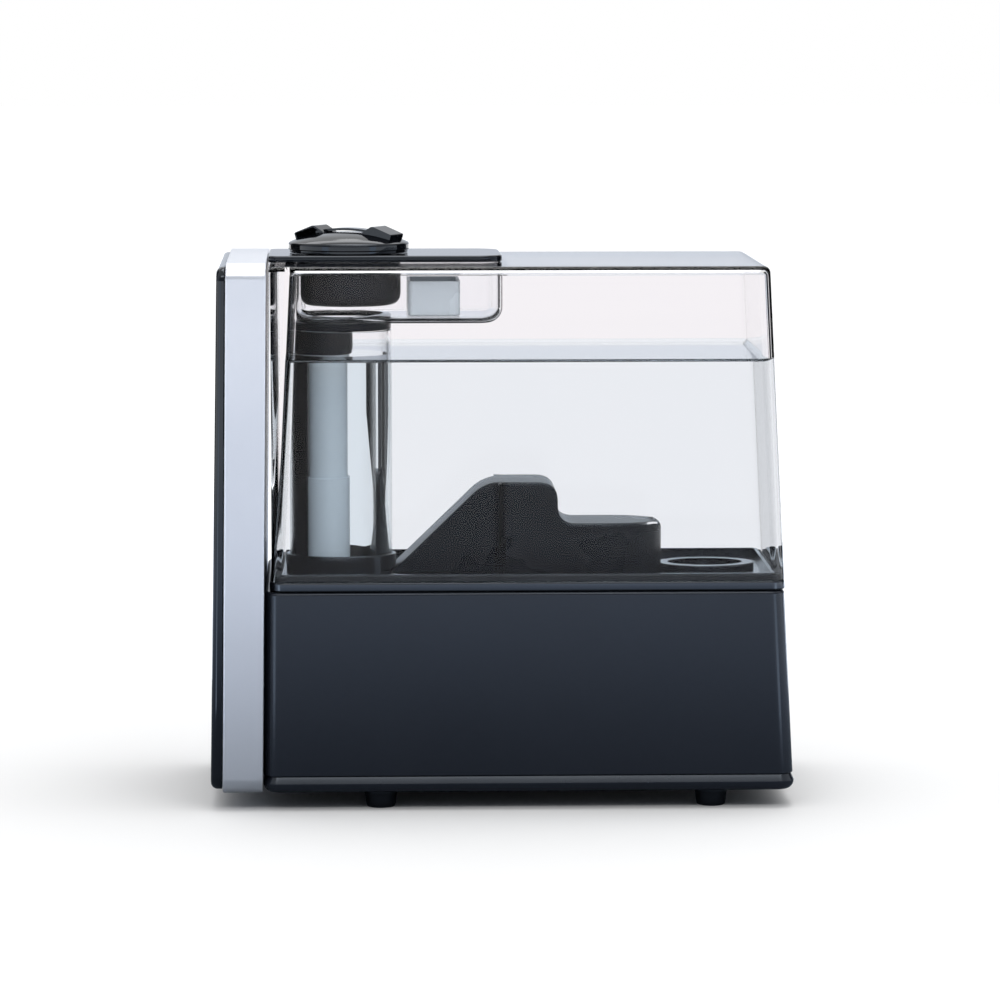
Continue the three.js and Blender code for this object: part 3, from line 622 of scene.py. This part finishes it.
# a flat outline in X and Z, filled and extruded across Y
def crossExtruded(name, outline, half):
    deselectAll()
    bpy.ops.mesh.primitive_plane_add(size=0.001, location=(outline[0][0] * mm, -half * mm, outline[0][1] * mm))
    piece = bpy.context.active_object
    piece.name = name
    applyPlace(piece)
    startEdit(piece)
    bpy.ops.mesh.select_all(action="SELECT")
    bpy.ops.mesh.merge(type="CENTER")
    for (x0, z0), (x1, z1) in zip(outline, outline[1:]):
        bpy.ops.mesh.extrude_vertices_move(TRANSFORM_OT_translate={"value": ((x1 - x0) * mm, 0, (z1 - z0) * mm)})
    bpy.ops.mesh.select_all(action="SELECT")
    bpy.ops.mesh.remove_doubles(threshold=1e-6)
    bpy.ops.mesh.select_all(action="SELECT")
    bpy.ops.mesh.edge_face_add()
    bpy.ops.mesh.extrude_region_move(TRANSFORM_OT_translate={"value": (0, 2 * half * mm, 0)})
    bpy.ops.mesh.select_all(action="SELECT")
    bpy.ops.mesh.normals_make_consistent(inside=False)
    endEdit()
    return piece


# the bump's plan: a narrow neck on the ramp that widens into a long round-ended body
def bumpPlan(name, inset, low, high):
    b = bump
    half = b["round"] - inset
    plan = boxPiece(name, (0, -half, low), (b["centre"] + half, half, high))
    startEdit(plan)
    bevelEdges(plan, lambda middle, way: abs(way.z) > 0.9 and middle.x > 1, half - 0.01, 24)
    endEdit()
    neck = boxPiece(name + "Neck", (b["foot"] - 45, inset - b["neck"], low), (10, b["neck"] - inset, high))
    startEdit(neck)
    pick(neck, "FACE", lambda middle, way: way.x < -0.9)
    for edge in range(0):
        pass
    endEdit()
    carve(plan, neck, "UNION")
    startEdit(plan)
    bevelEdges(plan, lambda middle, way: abs(way.z) > 0.9 and abs(middle.x) < 0.5, 4.5, 8)
    endEdit()
    return plan


def bumpSolid(name, inset, floor):
    solid = crossExtruded(name, bumpOutline(inset, floor), 40)
    carve(solid, bumpPlan(name + "Plan", inset, floor - 5, 180), "INTERSECT")
    return solid


def buildTankBottom():
    t = tank
    floor = boxPiece(
        "tankBottom", (t["front"], -t["half"], 110.3), (t["rear"] + 0.2, t["half"], 115.0),
        corner=7.5, cornerSteps=12, top=1.1, bottom=0.8, edgeSteps=4,
    )
    draftPiece(floor, t["foot"], rear=t["draft"], side=t["side"])
    lip = tankSpace("tankLip", 2.3, t["foot"] - 1.3, 118.5, 4)
    carve(lip, tankSpace("tankLipRoom", 4.0, t["foot"] - 3, 120, 3))
    carve(floor, lip, "UNION")
    rings = [
        ("chimneyRing", -80.6, [(0, 113), (27.9, 113), (27.9, 123.5, 0.8), (0, 123.5)]),
        ("fillerBoss", 105, [(0, 113), (25, 113), (25, 118, 0.9), (0, 118)]),
        ("fillerNeck", 105, [(0, 96), (21.4, 96, 0.5), (21.4, 112), (0, 112)]),
    ]
    for name, x, profile in rings:
        carve(floor, turnedPiece(name, (x, 0), softened(profile, 4, False), 96), "UNION")
    carve(floor, bumpSolid("bumpHollow", 2.4, 100))
    bores = [("chimneySeat", -80.6, 26.3, 115), ("mistHole", -89.3, 11.8, 90), ("fillerBore", 105, 19, 90)]
    for name, x, radius, low in bores:
        carve(floor, turnedPiece(name, (x, 0), [(0, low), (radius, low), (radius, 130), (0, 130)], 96))
    smooth(floor)
    finishPiece(floor, "rimPlastic", "tank", ["tank_bottom"])


def buildMistHood():
    hood = bumpSolid("mistHood", 0, 104)
    applyModifier(
        hood, "BEVEL", width=2.4 * mm, segments=5, limit_method="ANGLE", angle_limit=math.radians(50),
        use_clamp_overlap=False,
    )
    carve(hood, boxPiece("hoodFoot", (-100, -40, 90), (100, 40, 115.3)))
    carve(hood, bumpSolid("hoodHollow", 2.4, 98))
    carve(hood, turnedPiece("hoodChimney", (-80.6, 0), [(0, 110), (28.2, 110), (28.2, 130), (0, 130)], 96))
    smooth(hood)
    finishPiece(hood, "innerPlastic", "tank", ["mist_hood"])


# the water creeps up every wall it touches: its surface is inset in steps and let down between them
def raiseMeniscus(body):
    w = water
    startEdit(body, "FACE")
    pick(body, "FACE", lambda middle, way: way.z > 0.9 and middle.z > w["level"] - 1)
    for width, drop in ((0.7, 0.9), (0.8, 0.5), (1.0, 0.3), (1.4, 0.12)):
        bpy.ops.mesh.inset(thickness=width * mm, depth=-drop * mm)
    endEdit()


def buildWater():
    w = water
    body = tankSpace("tankWater", -w["bite"], 114.9, w["level"], 4.6)
    raiseMeniscus(body)
    carve(body, bumpSolid("waterBump", 0.3, 112))
    carve(body, turnedPiece("waterChimney", (-80.6, 0), [(0, 100), (25.9, 100), (25.9, 240), (0, 240)], 96))
    carve(body, turnedPiece("waterFiller", (105, 0), [(0, 100), (24.8, 100), (24.8, 117.8), (0, 117.8)], 96))
    carve(body, turnedPiece("waterInBore", (105, 0), [(0, 112.3), (19.05, 112.3), (19.05, 119), (0, 119)], 96), "UNION")
    smooth(body, 60)
    finishPiece(body, "water", "tank")


buildTankShell()
buildTankBottom()
buildMistHood()
buildWater()
print("tank, floor and water built")


# ---- the mist's way up, inside the tank

bowl = dict(front=-105.4, rear=1.5, half=34.0, floor=241.0, top=269.2, wall=2.2)


def roundPiece(name, place, profile, look, body, nodeName, steps=96):
    piece = turnedPiece(name, place, profile, steps)
    smooth(piece)
    return finishPiece(piece, look, body, [nodeName])


def buildMistWay():
    chimneyAt, mistAt = (-80.6, 0), (-89.3, 0)
    roundPiece("chimneyTube", chimneyAt, ringProfile(26, 24, 115.3, 236.3), "clearPlastic", "tank", "chimney_tube")
    roundPiece("chimneyGasket", chimneyAt, ringProfile(25.8, 22, 236.6, 240.7, 0.9), "innerPlastic", "tank", "chimney_gasket")
    roundPiece("mistTube", mistAt, ringProfile(13.3, 11.8, 115.3, 235), "frostedPlastic", "tank", "mist_tube")
    roundPiece("mistSleeve", mistAt, ringProfile(14.7, 13.6, 115.3, 162), "frostedPlastic", "tank", "mist_sleeve")
    collar = softened([(13.6, 224, 0.4), (14.4, 224, 0.6), (14.95, 227, 0.8), (14.95, 235.6, 0.5), (13.6, 235.6, 0.4)])
    roundPiece("mistCollar", mistAt, collar, "innerPlastic", "tank", "mist_collar")


def buildBowl():
    b = bowl
    dish = boxPiece(
        "mistBowl", (b["front"], -b["half"], b["floor"]), (b["rear"], b["half"], b["top"]),
        corner=13, cornerSteps=12, bottom=8, edgeSteps=8,
    )
    flange = boxPiece("bowlFlange", (b["front"], -36.5, 267), (4, 36.5, b["top"]), corner=13.5, cornerSteps=12, bottom=0.7, edgeSteps=3)
    carve(dish, flange, "UNION")
    room = boxPiece(
        "bowlRoom", (b["front"] + b["wall"], b["wall"] - b["half"], b["floor"] + b["wall"]),
        (b["rear"] - b["wall"], b["half"] - b["wall"], b["top"] + 5), corner=10.8, cornerSteps=12, bottom=6, edgeSteps=8,
    )
    carve(dish, room)
    carve(dish, turnedPiece("bowlHole", (-80.6, 0), [(0, 230), (21.5, 230), (21.5, 252), (0, 252)], 96))
    smooth(dish)
    finishPiece(dish, "clearPlastic", "tank", ["mist_bowl"])
    tray = boxPiece("scentTray", (-46.5, -22, 243.7), (-20, 22, 262), corner=3, bottom=1.2)
    carve(tray, boxPiece("trayRoom", (-45, -20.5, 246), (-21.5, 20.5, 270), corner=2))
    smooth(tray)
    finishPiece(tray, "frostedPlastic", "tank", ["scent_tray"])


buildMistWay()
buildBowl()
print("mist way and bowl built")


# ---- lid and nozzle

lid = dict(front=-116.9, rear=1.2, half=35.0, foot=272.3, top=275.6, corner=13.0)
nozzle = dict(x=-76.2, radius=30.75)


def buildLid():
    d = lid
    plate = boxPiece(
        "lidPlate", (d["front"], -d["half"], d["foot"]), (d["rear"], d["half"], d["top"]), corner=4, cornerSteps=8,
    )
    # the rear corners are much rounder than the front ones
    carve(plate, boxPiece("lidRound", (d["front"] - 40, -d["half"], 260), (d["rear"], d["half"], 290), corner=d["corner"], cornerSteps=16), "INTERSECT")
    startEdit(plate)
    bevelEdges(plate, lambda middle, way: middle.z > d["top"] - 0.01 and abs(way.z) < 0.1, 1.1, 5)
    bevelEdges(plate, lambda middle, way: middle.z < d["foot"] + 0.01 and abs(way.z) < 0.1, 0.5, 3)
    endEdit()
    carve(plate, turnedPiece("nozzleSeat", (nozzle["x"], 0), [(0, 260), (22, 260), (22, 290), (0, 290)], 96))
    smooth(plate)
    finishPiece(plate, "pianoBlack", "lid", ["lid_plate"])
    cup = softened([(16, 249, 0.6), (19.5, 249), (26.4, 249, 6.5), (26.4, 272, 0.4), (24.6, 272, 0.4), (24.6, 251, 5), (19, 251), (16, 251, 0.6)], 8)
    roundPiece("lidSkirt", (nozzle["x"], 0), cup, "innerPlastic", "lid", "lid_skirt")


def buildNozzle():
    at = (nozzle["x"], 0)
    dome = softened([
        (0, 284), (10, 283.6), (17, 282.2), (19.2, 279.6, 1), (19.2, 268, 0.4), (21.6, 268, 0.4), (21.6, 275.9), (30.1, 275.9, 0.3),
        (30.1, 277.2), (30.75, 277.5, 0.3), (30.75, 280.7, 0.9), (27.8, 282.1, 2.2), (20, 284.3, 3), (11, 285.8, 3), (0, 286.3),
    ], 5, closed=False)
    disc = turnedPiece("nozzleDisc", at, dome, 128)
    smooth(disc)
    finishPiece(disc, "pianoBlack", "nozzle", ["nozzle_disc"])
    roundPiece("nozzleClip", at, ringProfile(24.2, 21.9, 269.6, 272), "innerPlastic", "nozzle", "nozzle_clip")
    buildHood(at)


hoodShape = dict(
    scoop=[(8.6, 284.6, 0.6), (16.6, 289.4, 1.2), (27.6, 285.2, 0.9), (26.4, 281.6, 0.5), (17.0, 283.0, 1.0)],
    half=7.2, wall=0.95, back=1.4, turn=27.0, bandReach=17.0, bandHalf=3.6, bandTop=288.1, bandEnd=286.3,
    bandThick=1.2,
)


def turnAboutNozzle(piece, degrees):
    startEdit(piece)
    bpy.ops.mesh.select_all(action="SELECT")
    bpy.ops.transform.rotate(value=math.radians(degrees), orient_axis="Z", center_override=(0, 0, 0))
    endEdit()


# a scoop's outline drawn in by its wall, about its own middle
def drawnIn(points, wall):
    middleX = sum(p[0] for p in points) / len(points)
    middleZ = sum(p[1] for p in points) / len(points)
    reachX = max(abs(p[0] - middleX) for p in points)
    reachZ = max(abs(p[1] - middleZ) for p in points)
    shareX, shareZ = 1 - wall / reachX, 1 - wall / reachZ
    return [(middleX + (x - middleX) * shareX, middleZ + (z - middleZ) * shareZ, r * 0.5) for x, z, r in points]


# two wedge-shaped scoops blow sideways, in opposite ways, and a flat band arches between them over the dome
def buildHood(at):
    h = hoodShape
    arc = []
    for step in range(17):
        x = h["bandReach"] * (step / 8 - 1)
        arc.append((x, h["bandTop"] - (h["bandTop"] - h["bandEnd"]) * (x / h["bandReach"]) ** 2))
    outline = arc + [(x, z - h["bandThick"]) for x, z in reversed(arc)]
    hood = crossExtruded("nozzleHood", outline + [outline[0]], h["bandHalf"])
    for half in (0, 180):
        scoop = crossExtruded("scoop", softened(h["scoop"], 4), h["half"])
        hollow = crossExtruded("scoopHollow", softened(drawnIn(h["scoop"], h["wall"]), 3), h["half"])
        startEdit(hollow)
        bpy.ops.mesh.select_all(action="SELECT")
        bpy.ops.transform.translate(value=(0, h["back"] * mm, 0))
        endEdit()
        carve(scoop, hollow)
        turnAboutNozzle(scoop, half)
        carve(hood, scoop, "UNION")
    turnAboutNozzle(hood, h["turn"])
    startEdit(hood)
    bpy.ops.mesh.select_all(action="SELECT")
    bpy.ops.transform.translate(value=(at[0] * mm, 0, 0))
    endEdit()
    smooth(hood)
    finishPiece(hood, "pianoBlack", "nozzle", ["nozzle_hood"])


# the return spring hangs from the cap
def buildReturnSpring():
    source = bpy.data.objects["valve_spring"]
    deselectAll()
    spring = bpy.data.objects.new("returnSpring", source.data.copy())
    bpy.context.scene.collection.objects.link(spring)
    startEdit(spring)
    bpy.ops.mesh.select_all(action="SELECT")
    bpy.ops.mesh.remove_doubles(threshold=1e-6)
    endEdit()
    smooth(spring)
    finishPiece(spring, "plainSteel", "cap", ["valve_spring"])
    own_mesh(spring)


buildLid()
buildNozzle()
buildReturnSpring()
print("lid and nozzle built")


# ---- frame nodes whose shape stays: each gets its finish

keptNodes = {
    "innerPlastic": ["column_core", "display_module", "water_basin", "power_socket", "blower_housing", "air_duct", "float_keeper", "fill_cap"],
    "softRubber": ["basin_gasket", "transducer_seal", "tank_seal", "cap_seal", "valve_seal"],
    "plainSteel": ["cover_screw_1", "cover_screw_2", "cover_screw_3", "cover_screw_4", "column_screw_1", "column_screw_2",
                   "touch_spring_1", "touch_spring_2", "touch_spring_3", "touch_spring_4", "blower_motor", "motor_shaft"],
    "whitePlastic": ["impeller", "float_ring", "valve_plunger"],
    "boardGreen": ["display_board", "driver_board", "power_board"],
    "extrudedAluminium": ["heat_sink"],
    "plainBrass": ["transducer_ring", "transformer"],
    "firedCeramic": ["transducer_disc"],
}
for look, nodeNames in keptNodes.items():
    for nodeName in nodeNames:
        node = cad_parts[nodeName]
        node.data.materials.clear()
        node.data.materials.append(looks[look])
print("frame nodes finished")


# ---- floor, light and camera

studio = dict(aim=(-1.75, -75.0, 156.3), distance=2300.0, azimuth=-2.1, elevation=6.2, lens=166.5)
paper = dict(
    size=30.0, seen=0.8, glimpsed=(0.946, 0.909, 0.923), glow=0.45, glowFrom=0.24, glowTo=1.0,
    # painted reflection tones: dark near the object as painted shade, bright far off
    reflectedShadeRamp=[(0.0, (0.10, 0.12, 0.14)), (0.17, (0.17, 0.20, 0.24)), (0.42, (0.70, 0.80, 1.0)),
              (0.75, (1.25, 1.28, 1.32)), (1.0, (1.9, 1.9, 1.9))],
    mirrorReach=2.4, laneAt=0.715, laneHalf=0.08, laneFrom=0.5, laneTone=(2.0, 2.25, 2.6),
)
air = dict(
    seen=1.0, sky=0.85, skyTone=(1.0, 1.0, 1.0), horizonTone=(0.80, 0.86, 0.96), frontTone=(0.30, 0.33, 0.38),
    frontTo=(0.35, 0.6),
)


# white paper: in glossy reflections it carries painted shade close to the object and painted brightness further off,
# and far off it glows into the background
def buildFloor():
    deselectAll()
    bpy.ops.mesh.primitive_plane_add(size=paper["size"], location=(0, 0, 0))
    floor = bpy.context.active_object
    floor.name = "studioFloor"
    material, nodes, links, shader, out = startMaterial("studioPaper")
    shader.inputs["Roughness"].default_value = 1.0
    shader.inputs["Specular IOR Level"].default_value = 0.0
    place = nodes.new("ShaderNodeTexCoord")
    reach = nodes.new("ShaderNodeVectorMath")
    reach.operation = "LENGTH"
    links.new(place.outputs["Object"], reach.inputs[0])
    share = nodes.new("ShaderNodeMapRange")
    share.inputs["From Max"].default_value = paper["mirrorReach"]
    links.new(reach.outputs["Value"], share.inputs["Value"])
    # painted shade and painted highlight for polished faces: glossy rays see the paper dark near the object and bright
    # far off
    reflectedShadeRamp = nodes.new("ShaderNodeValToRGB")
    steps = reflectedShadeRamp.color_ramp.elements
    while len(steps) < len(paper["reflectedShadeRamp"]):
        steps.new(0.5)
    for step, (at, tone) in zip(steps, paper["reflectedShadeRamp"]):
        step.position = at
        step.color = (*tone, 1)
    links.new(share.outputs["Result"], reflectedShadeRamp.inputs["Fac"])
    # two bright lanes run out from the object to the front corners and draw the upright highlights
    split = nodes.new("ShaderNodeSeparateXYZ")
    links.new(place.outputs["Object"], split.inputs["Vector"])
    side = nodes.new("ShaderNodeMath")
    side.operation = "ABSOLUTE"
    links.new(split.outputs["X"], side.inputs[0])
    bearing = nodes.new("ShaderNodeMath")
    bearing.operation = "DIVIDE"
    links.new(side.outputs[0], bearing.inputs[0])
    links.new(reach.outputs["Value"], bearing.inputs[1])
    lane = nodes.new("ShaderNodeMath")
    lane.operation = "COMPARE"
    links.new(bearing.outputs[0], lane.inputs[0])
    lane.inputs[1].default_value = paper["laneAt"]
    lane.inputs[2].default_value = paper["laneHalf"]
    clearOfObject = nodes.new("ShaderNodeMath")
    clearOfObject.operation = "GREATER_THAN"
    links.new(reach.outputs["Value"], clearOfObject.inputs[0])
    clearOfObject.inputs[1].default_value = paper["laneFrom"]
    laneShown = nodes.new("ShaderNodeMath")
    laneShown.operation = "MULTIPLY"
    links.new(lane.outputs[0], laneShown.inputs[0])
    links.new(clearOfObject.outputs[0], laneShown.inputs[1])
    laned = nodes.new("ShaderNodeMix")
    laned.data_type = "RGBA"
    laned.inputs["B"].default_value = (*paper["laneTone"], 1)
    links.new(laneShown.outputs[0], laned.inputs["Factor"])
    links.new(reflectedShadeRamp.outputs["Color"], laned.inputs["A"])
    path = nodes.new("ShaderNodeLightPath")
    inGloss = nodes.new("ShaderNodeMix")
    inGloss.data_type = "RGBA"
    inGloss.inputs["A"].default_value = (paper["seen"], paper["seen"], paper["seen"], 1)
    links.new(path.outputs["Is Glossy Ray"], inGloss.inputs["Factor"])
    links.new(laned.outputs["Result"], inGloss.inputs["B"])
    throughClear = nodes.new("ShaderNodeMix")
    throughClear.data_type = "RGBA"
    throughClear.inputs["B"].default_value = (0, 0, 0, 1)
    links.new(path.outputs["Is Transmission Ray"], throughClear.inputs["Factor"])
    links.new(inGloss.outputs["Result"], throughClear.inputs["A"])
    links.new(throughClear.outputs["Result"], shader.inputs["Base Color"])
    glow = nodes.new("ShaderNodeMapRange")
    glow.interpolation_type = "SMOOTHSTEP"
    glow.inputs["From Min"].default_value = paper["glowFrom"]
    glow.inputs["From Max"].default_value = paper["glowTo"]
    glow.inputs["To Max"].default_value = paper["glow"]
    links.new(reach.outputs["Value"], glow.inputs["Value"])
    # behind clear walls and water the paper is one even tone
    glowSeen = nodes.new("ShaderNodeMath")
    glowSeen.operation = "MULTIPLY_ADD"
    links.new(glow.outputs["Result"], glowSeen.inputs[0])
    links.new(path.outputs["Is Camera Ray"], glowSeen.inputs[1])
    links.new(path.outputs["Is Transmission Ray"], glowSeen.inputs[2])
    glowTone = nodes.new("ShaderNodeMix")
    glowTone.data_type = "RGBA"
    glowTone.inputs["A"].default_value = (1, 1, 1, 1)
    glowTone.inputs["B"].default_value = (*paper["glimpsed"], 1)
    links.new(path.outputs["Is Transmission Ray"], glowTone.inputs["Factor"])
    links.new(glowTone.outputs["Result"], shader.inputs["Emission Color"])
    links.new(glowSeen.outputs[0], shader.inputs["Emission Strength"])
    floor.data.materials.append(material)


def buildAir():
    world = bpy.data.worlds.new("studioWorld")
    bpy.context.scene.world = world
    world.use_nodes = True
    nodes, links = world.node_tree.nodes, world.node_tree.links
    soft = nodes["Background"]
    plain = nodes.new("ShaderNodeBackground")
    plain.inputs["Color"].default_value = (1, 1, 1, 1)
    plain.inputs["Strength"].default_value = air["seen"]
    way = nodes.new("ShaderNodeTexCoord")
    split = nodes.new("ShaderNodeSeparateXYZ")
    links.new(way.outputs["Generated"], split.inputs["Vector"])
    ramp = nodes.new("ShaderNodeMapRange")
    ramp.interpolation_type = "SMOOTHSTEP"
    ramp.inputs["From Min"].default_value = 0.0
    ramp.inputs["From Max"].default_value = 0.6
    links.new(split.outputs["Z"], ramp.inputs["Value"])
    tone = nodes.new("ShaderNodeMix")
    tone.data_type = "RGBA"
    tone.inputs["A"].default_value = (*air["horizonTone"], 1)
    tone.inputs["B"].default_value = (*air["skyTone"], 1)
    links.new(ramp.outputs["Result"], tone.inputs["Factor"])
    # the room in front of the object is dim up to the height of the softboxes
    ahead = nodes.new("ShaderNodeMapRange")
    ahead.inputs["From Min"].default_value = -0.1
    ahead.inputs["From Max"].default_value = -0.6
    links.new(split.outputs["Y"], ahead.inputs["Value"])
    below = nodes.new("ShaderNodeMapRange")
    below.interpolation_type = "SMOOTHSTEP"
    below.inputs["From Min"].default_value = air["frontTo"][1]
    below.inputs["From Max"].default_value = air["frontTo"][0]
    links.new(split.outputs["Z"], below.inputs["Value"])
    dim = nodes.new("ShaderNodeMath")
    dim.operation = "MULTIPLY"
    links.new(ahead.outputs["Result"], dim.inputs[0])
    links.new(below.outputs["Result"], dim.inputs[1])
    room = nodes.new("ShaderNodeMix")
    room.data_type = "RGBA"
    room.inputs["B"].default_value = (*air["frontTone"], 1)
    links.new(dim.outputs[0], room.inputs["Factor"])
    links.new(tone.outputs["Result"], room.inputs["A"])
    links.new(room.outputs["Result"], soft.inputs["Color"])
    soft.inputs["Strength"].default_value = air["sky"]
    path = nodes.new("ShaderNodeLightPath")
    mix = nodes.new("ShaderNodeMixShader")
    links.new(path.outputs["Is Camera Ray"], mix.inputs["Fac"])
    links.new(soft.outputs["Background"], mix.inputs[1])
    links.new(plain.outputs["Background"], mix.inputs[2])
    links.new(mix.outputs["Shader"], nodes["World Output"].inputs["Surface"])


# black flags at both sides, out of the camera's sight, draw the dark edges of the clear walls
flags = dict(x=0.95, y=(0.25, 1.3), z=(0.03, 1.0))


def buildFlags():
    material, nodes, links, shader, out = startMaterial("flagCloth")
    shader.inputs["Base Color"].default_value = (0.004, 0.005, 0.008, 1)
    shader.inputs["Roughness"].default_value = 1.0
    for side, name in ((-1, "leftFlag"), (1, "rightFlag")):
        deselectAll()
        middle = [side * flags["x"], sum(flags["y"]) / 2, sum(flags["z"]) / 2]
        size = (0.01, flags["y"][1] - flags["y"][0], flags["z"][1] - flags["z"][0])
        bpy.ops.mesh.primitive_cube_add(size=1, location=middle, scale=size)
        flag = bpy.context.active_object
        flag.name = name
        applyPlace(flag)
        flag.data.materials.append(material)
        flag.visible_camera = False
        flag.visible_diffuse = False
        flag.visible_shadow = False


lamps = {
    "overheadSoftbox": dict(at=(0.1, 0.1, 1.7), aim=(0, 0, 0.1), size=(1.3, 0.9), power=13),
    "rearSoftbox": dict(at=(0.0, 1.5, 1.5), aim=(0, 0, 0.15), size=(2.2, 0.35), power=3),
    "frontSoftbox": dict(at=(0.0, -1.5, 1.45), aim=(0, 0, 0.15), size=(2.4, 0.35), power=10),
}


def buildLamps():
    for name, lamp in lamps.items():
        deselectAll()
        bpy.ops.object.light_add(type="AREA", location=lamp["at"])
        light = bpy.context.active_object
        light.name = name
        light.data.shape = "RECTANGLE"
        light.data.size, light.data.size_y = lamp["size"]
        light.data.energy = lamp["power"]
        light.rotation_euler = (Vector(lamp["aim"]) - light.location).to_track_quat("-Z", "Y").to_euler()


def buildCamera():
    s = studio
    a, e = math.radians(s["azimuth"]), math.radians(s["elevation"])
    back = Vector((math.sin(a) * math.cos(e), -math.cos(a) * math.cos(e), math.sin(e)))
    aim = Vector(s["aim"]) * mm
    deselectAll()
    bpy.ops.object.camera_add(location=aim + back * s["distance"] * mm)
    camera = bpy.context.active_object
    camera.rotation_euler = (-back).to_track_quat("-Z", "Y").to_euler()
    camera.data.lens = s["lens"]
    camera.data.sensor_width = 36
    bpy.context.scene.camera = camera


buildFloor()
buildAir()
buildFlags()
buildLamps()
buildCamera()
bpy.context.scene.view_settings.view_transform = "Standard"
print("studio ready")
